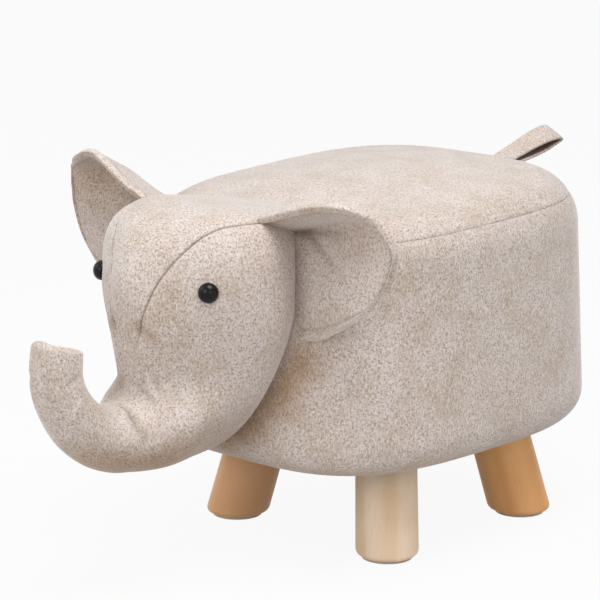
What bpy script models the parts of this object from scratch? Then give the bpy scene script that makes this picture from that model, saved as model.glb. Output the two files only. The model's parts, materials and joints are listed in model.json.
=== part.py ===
"""An elephant footstool: a padded drum on four splayed legs, with a stuffed head, ears and a tail loop.

Metres, +Z up. The animal looks along -Y and its left side is +X. While the pieces are made, the drum's
middle stands over the origin; at the end the whole footstool is moved so that the middle of its box is there.
"""

import math

import bmesh
import bpy
import numpy as np
from mathutils import Matrix, Vector

# Fits
GAP = 0.0003  # between pieces that touch
OVERRUN = 0.01  # how far a cutter runs past what it cuts
FULL_TURN = 2 * math.pi

# The drum's outside
DRUM_HALF_WIDTH = 0.1344
DRUM_HALF_LENGTH = 0.1558
DRUM_SQUARENESS = 3.2  # exponent of the outline: 2 is an oval, more is squarer
DRUM_FLARE_SHARE = 0.059  # how much wider the drum is at its foot than at its rim
UNDERSIDE_HEIGHT = 0.0777
RIM_HEIGHT = 0.2752
SEAM_DROP = 0.0172  # from the rim down to the seam round it
SEAT_RISE_SHARE = 0.043  # the rim climbs this much for each length towards the back
SEAT_CROWN = 0.0095
FOOT_ROUNDING = 0.028
RIM_ROUNDING = 0.0363
DRUM_STEPS = 40
CORNER_CROWDING = 0.8  # under 1 puts more of a ring's points at its corners

# Cloth, padding and boards
CLOTH = 0.0012
HEM_WIDTH = 0.014
DUST_CLOTH = 0.0008
DUST_CLOTH_MARGIN = 0.004
PADDING = 0.026
LINER = 0.003
BOARD = 0.015
SEAT_FOAM = 0.055
POST_SIDE = 0.028
POST_INSET = 0.004
POST_CHAMFER = 0.002

# Legs
LEG_SIDE_INSET = 0.0373  # from the base board's edge to the leg's bolt
LEG_BACK_INSET = 0.0431
LEG_FRONT_INSET = 0.0743
LEG_SPLAY = 0.0145
LEG_TOP_RADIUS = 0.0237
LEG_FOOT_RADIUS = 0.0243
LEG_FOOT_ROUNDING = 0.0045
LEG_TOP_CHAMFER = 0.001
LEG_STEPS = 28
PAD = 0.002
PAD_RADIUS = 0.0195

# Leg fixings
BOLT_RADIUS = 0.004
BOLT_IN_LEG = 0.032
BOLT_POINT = 0.006
BOLT_POINT_RADIUS = 0.0012
NUT_BARREL_RADIUS = 0.0052
NUT_BARREL = 0.0115
NUT_FLANGE_RADIUS = 0.0115
NUT_FLANGE = 0.0016
TURNED_STEPS = 16

# Frame screws
SCREW_LENGTH = 0.04
SCREW_RADIUS = 0.0021
SCREW_HEAD_RADIUS = 0.0042
SCREW_HEAD = 0.0028
SCREW_POINT = 0.006
SCREW_POINT_RADIUS = 0.0005
SCREW_STEPS = 8

# Head and trunk
FACE_STANDOFF = 0.0114  # from the drum to where the face starts
HEAD_LENGTH = 0.096
HEAD_HEIGHT = 0.19
HEAD_HALF_WIDTH = 0.079
JAW_DROP = 0.1837  # below the rim
BRIDGE_RISE = 0.0715  # above the jaw
BRIDGE_ABOVE = 0.045
BRIDGE_BELOW = 0.02
TRUNK_REACH = 0.083
TRUNK_HEIGHT = 0.115
TRUNK_ROOT_RADIUS = 0.0325
TRUNK_LIP = 0.002
TRUNK_END_SHARE = 0.8
HEAD_STEPS = 36
BRIDGE_ROW = 5  # from this row of HEAD_SHARES on, the sections lie twice as close

# One row a station, from inside the drum to where the trunk leaves the face. Forward and up, as shares of the
# head's length and height, for the crown and then for the jaw; the half width; how high up the section it is
# widest; the roundness of the part above that and of the part below it, where 2 is round; and how much the
# bridge of the trunk is drawn in.
HEAD_SHARES = (
    (-0.720, 0.918, -0.410, 0.040, 0.87, 0.62, 4.5, 1.60, 0.00),
    (-0.354, 0.963, -0.230, 0.024, 0.89, 0.62, 4.5, 1.55, 0.00),
    (-0.040, 0.992, -0.083, 0.016, 0.95, 0.62, 4.5, 1.55, 0.00),
    (0.208, 1.003, 0.062, 0.010, 1.00, 0.62, 4.4, 1.55, 0.00),
    (0.510, 0.982, 0.240, 0.005, 0.935, 0.60, 3.6, 1.60, 0.05),
    (0.740, 0.926, 0.406, 0.002, 0.80, 0.50, 2.4, 1.70, 0.22),
    (0.896, 0.834, 0.552, 0.000, 0.69, 0.38, 1.8, 1.80, 0.38),
    (0.974, 0.718, 0.667, 0.000, 0.615, 0.34, 1.65, 1.90, 0.50),
    (0.969, 0.603, 0.770, 0.002, 0.555, 0.36, 1.6, 2.00, 0.56),
    (0.932, 0.497, 0.854, 0.005, 0.50, 0.40, 1.6, 2.00, 0.55),
    (0.948, 0.413, 0.938, 0.010, 0.455, 0.45, 1.7, 2.00, 0.45),
)
# The same for the trunk, forward of the forehead and up from the jaw as shares of the trunk's reach and
# height, with the half width as a share of its root's radius. It is round, and widest halfway up.
TRUNK_SHARES = (
    (0.024, 0.583, 0.048, 0.030, 1.000),
    (0.157, 0.540, 0.205, 0.050, 0.900),
    (0.270, 0.552, 0.422, 0.117, 0.790),
    (0.372, 0.590, 0.663, 0.252, 0.700),
    (0.455, 0.662, 0.838, 0.422, 0.630),
    (0.500, 0.752, 0.952, 0.600, 0.585),
    (0.510, 0.835, 0.982, 0.780, 0.565),
    (0.508, 0.875, 0.955, 0.945, 0.545),
)

# Eyes, on shanks held by a washer behind the cloth
EYE_INSET = 0.0232  # from the head's widest
EYE_ABOVE_BRIDGE = 0.0666
EYE_RADIUS = 0.0075
EYE_DOME_SHARE = 0.8
EYE_SHANK_RADIUS = 0.0022
EYE_SHANK = 0.012
WASHER_RADIUS = 0.007
WASHER = 0.0014
WASHER_SETBACK = 0.0014  # behind the cloth, which curves away round it
WASHER_BACK = 0.0016
EYE_STEPS = 16

# Ears
EAR_ROOT_INSET = 0.007  # from the head's widest
EAR_WIDTH = 0.0965
EAR_FORWARD = 0.021
EAR_FOOT_DROP = 0.0852  # below the rim
EAR_HEIGHT = 0.102
EAR_THICKNESS = 0.0045
EAR_CUP = 0.016
EAR_CUP_NEAR_TOP = 0.5
EAR_CUP_NEAR_ROOT = 0.6
EAR_BACK_EARLY = 0.5  # below 1 the ear's roof runs back from its rim before the ear drops
EAR_DROP_LATE = 1.5
EAR_ROWS = 8
EAR_ROW_CROWDING = 1.3  # above 1 puts more rows in the roof
EAR_COLUMNS = 7
# Out from the root, forward of the face's root and up from the ear's foot, as shares of the ear's sizes
EAR_ROOT_SHARES = (
    (-0.130, 0.92, 0.850),
    (-0.100, -0.68, 0.85),
    (-0.020, -0.76, 0.60),
    (0.000, -0.76, 0.28),
    (0.011, -0.76, -0.06),
)
LEFT_EAR_TOP_SHARES = (
    (-0.130, 0.92, 0.850),
    (0.200, 0.905, 0.947),
    (0.473, 0.81, 1.01),
    (0.736, 0.62, 1.012),
    (0.900, -0.19, 0.90),
)
RIGHT_EAR_TOP_SHARES = (
    (-0.130, 0.92, 0.850),
    (0.104, 0.905, 0.944),
    (0.461, 0.81, 1.137),
    (0.706, 0.62, 1.061),
    (0.931, -0.19, 0.961),
)
EAR_OUTER_SHARES = (
    (0.900, -0.19, 0.90),
    (0.985, -0.47, 0.756),
    (0.985, -0.54, 0.64),
    (0.905, -0.52, 0.455),
    (0.746, -0.38, 0.275),
)
EAR_LOWER_SHARES = (
    (0.011, -0.76, -0.06),
    (0.182, -0.60, -0.035),
    (0.393, -0.45, 0.051),
    (0.592, -0.38, 0.161),
    (0.746, -0.38, 0.275),
)

# Tail loop
TAIL_LENGTH = 0.098
TAIL_RISE = 0.021
TAIL_RISE_GROWTH = 1.2
TAIL_WIDTH = 0.021
TAIL_STRAP = 0.0024
TAIL_PLY_SPREAD = 0.009
TAIL_BULGE_GROWTH = 2.6  # above 1 opens the loop nearer its fold
TAIL_BULGE_FULLNESS = 0.8
TAIL_BURIED = 0.021
TAIL_TIP_ROLL = math.radians(28)
TAIL_ROLL_GROWTH = 2.2
TAIL_STATIONS = 11

CLOTH_COLOUR = (0.62, 0.53, 0.46)
FOAM_COLOUR = (0.85, 0.80, 0.62)
FILLING_COLOUR = (0.86, 0.86, 0.84)
PLY_COLOUR = (0.62, 0.44, 0.26)
BEECH_COLOUR = (0.72, 0.49, 0.28)
LINER_COLOUR = (0.33, 0.20, 0.11)
ZINC_COLOUR = (0.66, 0.66, 0.64)
BLACK_COLOUR = (0.012, 0.010, 0.010)
PAD_COLOUR = (0.55, 0.53, 0.50)
DUST_COLOUR = (0.03, 0.03, 0.03)


def clear_scene():
    for obj in list(bpy.data.objects):
        bpy.data.objects.remove(obj, do_unlink=True)


def collection(name):
    made = bpy.data.collections.new(name)
    bpy.context.scene.collection.children.link(made)
    return made


def material(name, colour, roughness, metallic=0.0):
    made = bpy.data.materials.new(name)
    made.use_nodes = True
    shader = made.node_tree.nodes["Principled BSDF"]
    shader.inputs["Base Color"].default_value = (*colour, 1.0)
    shader.inputs["Roughness"].default_value = roughness
    shader.inputs["Metallic"].default_value = metallic
    return made


def add_object(name, mesh, group, finish=None, parent=None):
    obj = bpy.data.objects.new(name, mesh)
    group.objects.link(obj)
    if finish is not None:
        mesh.materials.clear()
        mesh.materials.append(finish)
    obj.parent = parent
    return obj


def add_cutter(name, mesh, group, parent):
    obj = add_object(name, mesh, group, parent=parent)
    obj.hide_render = True
    obj.display_type = "WIRE"
    return obj


def mesh_from(bm, name):
    """The finished mesh, with its faces turned outwards and shaded smooth except at sharp edges."""
    bmesh.ops.recalc_face_normals(bm, faces=bm.faces[:])
    mesh = bpy.data.meshes.new(name)
    bm.to_mesh(mesh)
    bm.free()
    mesh.shade_smooth()
    mesh.set_sharp_from_angle(angle=math.radians(40))
    return mesh


def cut(obj, cutter):
    modifier = obj.modifiers.new("cut by " + cutter.name, "BOOLEAN")
    modifier.operation = "DIFFERENCE"
    modifier.object = cutter


def along(points, share):
    """The place at this share of a smooth curve through the points."""
    points = np.asarray(points, float)
    spans = len(points) - 1
    span = min(int(share * spans), spans - 1)
    t = share * spans - span
    before = points[max(span - 1, 0)]
    start, end = points[span], points[span + 1]
    after = points[min(span + 2, spans)]
    return 0.5 * (
        2 * start
        + (end - before) * t
        + (2 * before - 5 * start + 4 * end - after) * t**2
        + (3 * start - before - 3 * end + after) * t**3
    )


def loft(name, rings, joined=False, capped=True, tip=None):
    """A skin through rings of equal count. joined closes it into a tube round; tip is a last single point."""
    bm = bmesh.new()
    loops = [[bm.verts.new(point) for point in ring] for ring in rings]
    pairs = list(zip(loops[:-1], loops[1:]))
    if joined:
        pairs.append((loops[-1], loops[0]))
    for lower, upper in pairs:
        for i in range(len(lower)):
            j = (i + 1) % len(lower)
            bm.faces.new((lower[i], lower[j], upper[j], upper[i]))
    if tip is not None:
        point = bm.verts.new(tip)
        last = loops[-1]
        for i in range(len(last)):
            bm.faces.new((last[i], last[(i + 1) % len(last)], point))
    if capped and not joined:
        bm.faces.new(loops[0])
        if tip is None:
            bm.faces.new(loops[-1])
    return mesh_from(bm, name)


def turned(name, profile, steps):
    """A solid turned round Z from (radius, height) points, top to bottom, the ends on the axis."""
    bm = bmesh.new()
    points = [bm.verts.new((radius, 0, height)) for radius, height in profile]
    edges = [bm.edges.new(pair) for pair in zip(points[:-1], points[1:])]
    bmesh.ops.spin(
        bm,
        geom=points + edges,
        cent=(0, 0, 0),
        axis=(0, 0, 1),
        angle=FULL_TURN,
        steps=steps,
        use_merge=True,
    )
    bmesh.ops.remove_doubles(bm, verts=bm.verts[:], dist=GAP / 10)
    return mesh_from(bm, name)


# Sizes that follow from those above

SEAM_HEIGHT = RIM_HEIGHT - SEAM_DROP
COVERED = CLOTH + GAP  # from the outside to the padding
LINER_OUTSIDE = COVERED + PADDING + GAP
BOARD_OUTSIDE = LINER_OUTSIDE + LINER + GAP
BASE_BOTTOM = UNDERSIDE_HEIGHT + COVERED
BASE_TOP = BASE_BOTTOM + BOARD
SEAT_TOP = RIM_HEIGHT + SEAT_CROWN - COVERED - SEAT_FOAM
SEAT_BOTTOM = SEAT_TOP - BOARD
DUST_TOP = UNDERSIDE_HEIGHT - GAP
DUST_BOTTOM = DUST_TOP - DUST_CLOTH
LEG_TOP = DUST_BOTTOM - GAP
LEG_BOTTOM = PAD + GAP
NUT_TOP = BASE_TOP + GAP + NUT_FLANGE
BOLT_TOP = NUT_TOP
LEG_SPREAD = DRUM_HALF_WIDTH - BOARD_OUTSIDE - LEG_SIDE_INSET
LEG_BACK = DRUM_HALF_LENGTH - BOARD_OUTSIDE - LEG_BACK_INSET
LEG_FRONT = -(DRUM_HALF_LENGTH - BOARD_OUTSIDE - LEG_FRONT_INSET)
FACE_ROOT = -(DRUM_HALF_LENGTH + FACE_STANDOFF)
JAW_HEIGHT = RIM_HEIGHT - JAW_DROP
BRIDGE_HEIGHT = JAW_HEIGHT + BRIDGE_RISE
EYE_SPREAD = HEAD_HALF_WIDTH - EYE_INSET
EYE_HEIGHT = BRIDGE_HEIGHT + EYE_ABOVE_BRIDGE
EAR_ROOT_SPREAD = HEAD_HALF_WIDTH - EAR_ROOT_INSET
EAR_FOOT_HEIGHT = RIM_HEIGHT - EAR_FOOT_DROP
EAR_SEWN_AT = FACE_ROOT - EAR_ROOT_SHARES[-1][1] * EAR_FORWARD
SLOPE_START = SEAT_TOP + 2 * GAP  # the rim's slope begins here, so the foam rests on a level board


def outline(half_x, half_y, height, steps=DRUM_STEPS):
    """One level ring of the drum."""
    points = []
    for i in range(steps):
        angle = FULL_TURN * i / steps
        c = math.copysign(abs(math.cos(angle)) ** CORNER_CROWDING, math.cos(angle))
        s = math.copysign(abs(math.sin(angle)) ** CORNER_CROWDING, math.sin(angle))
        total = abs(c) ** DRUM_SQUARENESS + abs(s) ** DRUM_SQUARENESS
        reach = total ** (-1 / DRUM_SQUARENESS)
        points.append((reach * c * half_x, reach * s * half_y, height))
    return points


def slope(height, y):
    """How far the seat's slope lifts a point of this height."""
    share = (height - SLOPE_START) / (RIM_HEIGHT - SLOPE_START)
    return SEAT_RISE_SHARE * y * min(max(share, 0), 1)


def sloped(ring):
    return [(x, y, z + slope(z, y)) for x, y, z in ring]


def drum_ring(inset, height):
    """A ring this far inside the drum's full outline, which is wider near the foot."""
    drop_share = (RIM_HEIGHT - height) / (RIM_HEIGHT - UNDERSIDE_HEIGHT)
    flare = 1 + DRUM_FLARE_SHARE * min(max(drop_share, 0), 1)
    ring = outline(DRUM_HALF_WIDTH * flare - inset, DRUM_HALF_LENGTH * flare - inset, height)
    return sloped(ring)


def foot_rings(depth, steps=4):
    """The rounded foot, from the underside up, this deep under the outside."""
    rings = []
    for i in range(steps + 1):
        angle = 0.5 * math.pi * (1 - i / steps)
        radius = FOOT_ROUNDING - depth
        inset = FOOT_ROUNDING - radius * math.cos(angle)
        height = UNDERSIDE_HEIGHT + FOOT_ROUNDING - radius * math.sin(angle)
        rings.append(drum_ring(inset, height))
    return rings


def rim_ring(depth, angle):
    radius = RIM_ROUNDING - depth
    inset = RIM_ROUNDING - radius * math.cos(angle)
    return drum_ring(inset, RIM_HEIGHT - RIM_ROUNDING + radius * math.sin(angle))


def seam_angle(height):
    return math.asin((height - RIM_HEIGHT + RIM_ROUNDING) / RIM_ROUNDING)


def below_seam(depth, steps=2):
    """The rounded rim from the wall up to the seam."""
    last = seam_angle(SEAM_HEIGHT - GAP / 2)
    return [rim_ring(depth, last * i / steps) for i in range(steps + 1)]


def above_seam(depth, steps=4):
    """The rounded rim from the seam to the seat."""
    first = seam_angle(SEAM_HEIGHT + GAP / 2)
    span = 0.5 * math.pi - first
    return [rim_ring(depth, first + span * i / steps) for i in range(steps + 1)]


def crown_rings(depth, shares=(0.78, 0.42)):
    """The crowned seat inside the rim, and its middle."""
    rings = []
    half_x, half_y = DRUM_HALF_WIDTH - RIM_ROUNDING, DRUM_HALF_LENGTH - RIM_ROUNDING
    for share in shares:
        height = RIM_HEIGHT - depth + SEAT_CROWN * (1 - share**2)
        rings.append(sloped(outline(half_x * share, half_y * share, height)))
    return rings, (0, 0, RIM_HEIGHT - depth + SEAT_CROWN)


def drum_envelope():
    """The drum's whole outside, one gap larger: what the head, ears and tail are fitted against."""
    rings = foot_rings(-GAP) + below_seam(-GAP) + above_seam(-GAP)
    crown, middle = crown_rings(-GAP)
    return loft("drum_envelope", rings + crown, tip=middle)


# The drum


def make_boards(parts, cutters, root, ply, leg_places):
    half_x, half_y = DRUM_HALF_WIDTH - BOARD_OUTSIDE, DRUM_HALF_LENGTH - BOARD_OUTSIDE
    boards = []
    for name, bottom in (("base_board", BASE_BOTTOM), ("seat_board", SEAT_BOTTOM)):
        curve = bpy.data.curves.new(name, "CURVE")
        curve.dimensions = "2D"
        curve.fill_mode = "BOTH"
        curve.extrude = BOARD / 2
        spline = curve.splines.new("POLY")
        points = outline(half_x, half_y, 0)
        spline.points.add(len(points) - 1)
        for place, point in zip(spline.points, points):
            place.co = (*point, 1)
        spline.use_cyclic_u = True
        drawn = bpy.data.objects.new(name + "_outline", curve)
        cutters.objects.link(drawn)
        graph = bpy.context.evaluated_depsgraph_get()
        mesh = bpy.data.meshes.new_from_object(drawn.evaluated_get(graph))
        bpy.data.objects.remove(drawn, do_unlink=True)
        bm = bmesh.new()
        bm.from_mesh(mesh)
        bmesh.ops.remove_doubles(bm, verts=bm.verts[:], dist=GAP / 10)
        board = add_object(name, mesh_from(bm, name), parts, ply, root)
        board.location = (0, 0, bottom + BOARD / 2)
        boards.append(board)
    base, seat = boards
    for i, place in enumerate(leg_places):
        bore = turned(
            "nut_bore",
            (
                (0, BASE_TOP + OVERRUN),
                (NUT_BARREL_RADIUS + GAP, BASE_TOP + OVERRUN),
                (NUT_BARREL_RADIUS + GAP, BASE_BOTTOM - OVERRUN),
                (0, BASE_BOTTOM - OVERRUN),
            ),
            TURNED_STEPS,
        )
        cutter = add_cutter(f"nut_bore_{i + 1}", bore, cutters, root)
        cutter.location = (place[0], place[1], 0)
        cut(base, cutter)
    return base, seat


def make_posts(parts, root, wood):
    """Four square posts, each at the middle of a side, between the boards."""
    x = DRUM_HALF_WIDTH - BOARD_OUTSIDE - POST_INSET - POST_SIDE / 2
    y = DRUM_HALF_LENGTH - BOARD_OUTSIDE - POST_INSET - POST_SIDE / 2
    height = SEAT_BOTTOM - BASE_TOP - 2 * GAP
    bm = bmesh.new()
    bmesh.ops.create_cube(bm, size=1)
    bmesh.ops.scale(bm, verts=bm.verts, vec=(POST_SIDE, POST_SIDE, height))
    upright = [e for e in bm.edges if abs(e.verts[0].co.z - e.verts[1].co.z) > height / 2]
    bmesh.ops.bevel(
        bm, geom=upright, offset=POST_CHAMFER, segments=1, profile=0.5, affect="EDGES"
    )
    mesh = mesh_from(bm, "post")
    posts = []
    for name, place in (
        ("front_post", (0, -y)),
        ("back_post", (0, y)),
        ("left_post", (x, 0)),
        ("right_post", (-x, 0)),
    ):
        post = add_object(name, mesh.copy(), parts, wood, root)
        post.location = (*place, (BASE_TOP + SEAT_BOTTOM) / 2)
        posts.append(post)
    return posts


def screw_profile(clearance):
    """A countersunk screw standing on its point: its bore where clearance is above 0."""
    top = clearance and OVERRUN
    head = SCREW_HEAD_RADIUS + clearance
    shank = SCREW_RADIUS + clearance
    bottom = -SCREW_LENGTH - clearance
    return (
        (0, top),
        (head, top),
        (head, -clearance),
        (shank, -SCREW_HEAD - clearance),
        (shank, bottom + SCREW_POINT),
        (SCREW_POINT_RADIUS + clearance, bottom),
        (0, bottom),
    )


def make_frame_screws(parts, cutters, root, zinc, posts, base, seat):
    """One screw up through the base board and one down through the seat board, into the end of each post."""
    screw = turned("frame_screw", screw_profile(0), SCREW_STEPS)
    bore = turned("frame_screw_bore", screw_profile(GAP), SCREW_STEPS)
    for post in posts:
        x, y = post.location.x, post.location.y
        side = post.name.replace("_post", "")
        for end, board, height, turn in (
            ("upper", seat, SEAT_TOP - GAP, 0),
            ("lower", base, BASE_BOTTOM + GAP, math.pi),
        ):
            piece = add_object(f"{side}_{end}_screw", screw.copy(), parts, zinc, root)
            hole = add_cutter(f"{side}_{end}_screw_bore", bore.copy(), cutters, root)
            for obj in (piece, hole):
                obj.location = (x, y, height)
                obj.rotation_euler = (turn, 0, 0)
            cut(board, hole)
            cut(post, hole)


def make_liner(parts, root, finish):
    """The thin hardboard sheet bent round both boards, which the padding is glued to."""
    outside = LINER_OUTSIDE
    inside = LINER_OUTSIDE + LINER
    bottom, top = BASE_BOTTOM + GAP, SEAT_TOP
    rings = [
        outline(DRUM_HALF_WIDTH - inset, DRUM_HALF_LENGTH - inset, height)
        for inset, height in ((outside, bottom), (outside, top), (inside, top), (inside, bottom))
    ]
    return add_object("liner", loft("liner", rings, joined=True), parts, finish, root)


def make_side_padding(parts, root, foam):
    inner = LINER_OUTSIDE - GAP
    half_x, half_y = DRUM_HALF_WIDTH - inner, DRUM_HALF_LENGTH - inner
    bottom = UNDERSIDE_HEIGHT + COVERED
    rings = foot_rings(COVERED)[1:]
    rings.append(drum_ring(COVERED, SEAT_TOP))
    rings.append(outline(half_x, half_y, SEAT_TOP))
    rings.append(outline(half_x, half_y, bottom))
    return add_object(
        "side_padding", loft("side_padding", rings, joined=True), parts, foam, root
    )


def make_seat_foam(parts, root, foam):
    rings = [drum_ring(COVERED, SEAT_TOP + GAP)]
    rings += below_seam(COVERED) + above_seam(COVERED)
    crown, middle = crown_rings(COVERED)
    return add_object(
        "seat_foam", loft("seat_foam", rings + crown, tip=middle), parts, foam, root
    )


def thicken(obj, thickness):
    """Cloth: the skin keeps its outside and gets this thickness inwards."""
    modifier = obj.modifiers.new("cloth", "SOLIDIFY")
    modifier.thickness = thickness
    modifier.offset = -1
    modifier.use_even_offset = True


def make_covers(parts, root, cloth):
    """The wall cloth with its hem turned in under the base, and the seat cloth, sewn together at the rim."""
    hem = [drum_ring(FOOT_ROUNDING + HEM_WIDTH, UNDERSIDE_HEIGHT)]
    side = loft("side_cover", hem + foot_rings(0) + below_seam(0), capped=False)
    side_cover = add_object("side_cover", side, parts, cloth, root)
    crown, middle = crown_rings(0)
    top = loft("seat_cover", above_seam(0) + crown, capped=False, tip=middle)
    seat_cover = add_object("seat_cover", top, parts, cloth, root)
    for cover in (side_cover, seat_cover):
        thicken(cover, CLOTH)
    return side_cover, seat_cover


def make_dust_cover(parts, cutters, root, cloth, leg_places):
    inset = FOOT_ROUNDING + DUST_CLOTH_MARGIN
    rings = [drum_ring(inset, DUST_BOTTOM), drum_ring(inset, DUST_TOP)]
    cover = add_object("dust_cover", loft("dust_cover", rings), parts, cloth, root)
    for i, place in enumerate(leg_places):
        hole = turned(
            "bolt_hole",
            (
                (0, DUST_TOP + OVERRUN),
                (BOLT_RADIUS + GAP, DUST_TOP + OVERRUN),
                (BOLT_RADIUS + GAP, DUST_BOTTOM - OVERRUN),
                (0, DUST_BOTTOM - OVERRUN),
            ),
            TURNED_STEPS,
        )
        cutter = add_cutter(f"bolt_hole_{i + 1}", hole, cutters, root)
        cutter.location = (place[0], place[1], 0)
        cut(cover, cutter)
    return cover


# Legs


def leg_mesh(side_x, side_y):
    """A round leg on the slant below its bolt, cut level at both ends."""
    foot = Vector((side_x * LEG_SPLAY, side_y * LEG_SPLAY, LEG_BOTTOM))
    top = Vector((0, 0, LEG_TOP))
    axis = (top - foot).normalized()
    length = (top - foot).length
    growth = (LEG_FOOT_RADIUS - LEG_TOP_RADIUS) / length
    spare = LEG_FOOT_RADIUS
    bm = bmesh.new()
    bmesh.ops.create_cone(
        bm,
        cap_ends=True,
        segments=LEG_STEPS,
        radius1=LEG_FOOT_RADIUS + growth * spare,
        radius2=LEG_TOP_RADIUS - growth * spare,
        depth=length + 2 * spare,
        matrix=Matrix.Translation((foot + top) / 2)
        @ Vector((0, 0, 1)).rotation_difference(axis).to_matrix().to_4x4(),
    )
    for height, normal in ((LEG_BOTTOM, (0, 0, -1)), (LEG_TOP, (0, 0, 1))):
        cut_geom = bmesh.ops.bisect_plane(
            bm,
            geom=bm.verts[:] + bm.edges[:] + bm.faces[:],
            plane_co=(0, 0, height),
            plane_no=normal,
            clear_outer=True,
        )["geom_cut"]
        edges = [e for e in cut_geom if isinstance(e, bmesh.types.BMEdge)]
        bmesh.ops.contextual_create(bm, geom=edges)
    for height, size, steps in (
        (LEG_BOTTOM, LEG_FOOT_ROUNDING, 4),
        (LEG_TOP, LEG_TOP_CHAMFER, 1),
    ):
        rim = [e for e in bm.edges if all(abs(v.co.z - height) < GAP / 10 for v in e.verts)]
        bmesh.ops.bevel(
            bm, geom=rim, offset=size, segments=steps, profile=0.5, affect="EDGES"
        )
    return mesh_from(bm, "leg")


def make_legs(parts, cutters, root, beech, zinc, rubber):
    bolt = turned(
        "hanger_bolt",
        (
            (0, BOLT_TOP),
            (BOLT_RADIUS, BOLT_TOP),
            (BOLT_RADIUS, LEG_TOP - BOLT_IN_LEG + BOLT_POINT),
            (BOLT_POINT_RADIUS, LEG_TOP - BOLT_IN_LEG),
            (0, LEG_TOP - BOLT_IN_LEG),
        ),
        TURNED_STEPS,
    )
    bolt_bore = turned(
        "bolt_bore",
        (
            (0, LEG_TOP + OVERRUN),
            (BOLT_RADIUS + GAP, LEG_TOP + OVERRUN),
            (BOLT_RADIUS + GAP, LEG_TOP - BOLT_IN_LEG - GAP),
            (0, LEG_TOP - BOLT_IN_LEG - GAP),
        ),
        TURNED_STEPS,
    )
    bore_radius = BOLT_RADIUS + GAP
    nut_profile = (
        (bore_radius, NUT_TOP),
        (NUT_FLANGE_RADIUS, NUT_TOP),
        (NUT_FLANGE_RADIUS, NUT_TOP - NUT_FLANGE),
        (NUT_BARREL_RADIUS, NUT_TOP - NUT_FLANGE),
        (NUT_BARREL_RADIUS, NUT_TOP - NUT_FLANGE - NUT_BARREL),
        (bore_radius, NUT_TOP - NUT_FLANGE - NUT_BARREL),
        (bore_radius, NUT_TOP),
    )
    nut = turned("tee_nut", nut_profile, TURNED_STEPS)
    pad = turned("foot_pad", ((0, PAD), (PAD_RADIUS, PAD), (PAD_RADIUS, 0), (0, 0)), LEG_STEPS)
    places = []
    for name, side_x, side_y in (
        ("front_left", 1, -1),
        ("front_right", -1, -1),
        ("back_left", 1, 1),
        ("back_right", -1, 1),
    ):
        top = Vector((side_x * LEG_SPREAD, LEG_FRONT if side_y < 0 else LEG_BACK, 0))
        foot = top + Vector((side_x * LEG_SPLAY, side_y * LEG_SPLAY, 0))
        leg = add_object(f"{name}_leg", leg_mesh(side_x, side_y), parts, beech, root)
        leg.location = top
        bore = add_cutter(f"{name}_bolt_bore", bolt_bore.copy(), cutters, root)
        bore.location = top
        cut(leg, bore)
        for piece, mesh, finish, place in (
            ("hanger_bolt", bolt, zinc, top),
            ("tee_nut", nut, zinc, top),
            ("foot_pad", pad, rubber, foot),
        ):
            obj = add_object(f"{name}_{piece}", mesh.copy(), parts, finish, root)
            obj.location = place
        places.append(top)
    return places


# Head and trunk


def face_station(row, depth):
    """(crown, jaw, half width, widest level, roundness above, below, bridge) of a section this deep in."""
    if len(row) == len(TRUNK_SHARES[0]):
        start, reach, height = HEAD_LENGTH, TRUNK_REACH, TRUNK_HEIGHT
        half_width, shape = row[4] * TRUNK_ROOT_RADIUS, (0.5, 2, 2, 0)
    else:
        start, reach, height = 0, HEAD_LENGTH, HEAD_HEIGHT
        half_width, shape = row[4] * HEAD_HALF_WIDTH, row[5:]
    front = FACE_ROOT - start
    crown = Vector((0, front - row[0] * reach, JAW_HEIGHT + row[1] * height))
    jaw = Vector((0, front - row[2] * reach, JAW_HEIGHT + row[3] * height))
    up = (crown - jaw).normalized()
    return crown - up * depth, jaw + up * depth, half_width - depth, *shape


def head_rows():
    """The head's rows, and one more halfway between each two at the bridge."""
    rows = list(HEAD_SHARES[:BRIDGE_ROW])
    last = len(HEAD_SHARES) - 1
    for i in range(BRIDGE_ROW, last):
        rows += [HEAD_SHARES[i], tuple(along(HEAD_SHARES, (i + 0.5) / last))]
    return (*rows, HEAD_SHARES[last])


def face_ring(row, depth):
    """One section of the head or trunk, egg-shaped, in the plane of its crown and jaw points."""
    crown, jaw, half_width, level, upper, lower, bridge = face_station(row, depth)
    widest = jaw.lerp(crown, level)
    ring = []
    for i in range(HEAD_STEPS):
        angle = FULL_TURN * i / HEAD_STEPS
        c, s = math.cos(angle), math.sin(angle)
        roundness = upper if c > 0 else lower
        reach = (abs(c) ** roundness + abs(s) ** roundness) ** (-1 / roundness)
        end = crown if c > 0 else jaw
        place = widest + (end - widest) * (reach * abs(c))
        over_bridge = place.z - BRIDGE_HEIGHT
        from_bridge = over_bridge / (BRIDGE_ABOVE if over_bridge > 0 else BRIDGE_BELOW)
        place.x = half_width * reach * s * (1 - bridge * math.exp(-from_bridge * from_bridge))
        ring.append(place)
    return ring


def tip_rings():
    """The trunk's sewn end: it draws in over a small lip that stands up at its front and back."""
    last = TRUNK_SHARES[-1]
    crown, jaw = face_station(last, 0)[:2]
    middle = (crown + jaw) / 2
    across = (crown - jaw).normalized()
    out = across.cross(Vector((1, 0, 0)))
    out = out if out.z > 0 else -out
    ring = []
    for point in face_ring(last, 0):
        side = (point - middle).dot(across) / (crown - middle).length
        ring.append(middle.lerp(point, TRUNK_END_SHARE) + out * (TRUNK_LIP * (1 + side * side)))
    return [ring], middle + out * TRUNK_LIP


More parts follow.
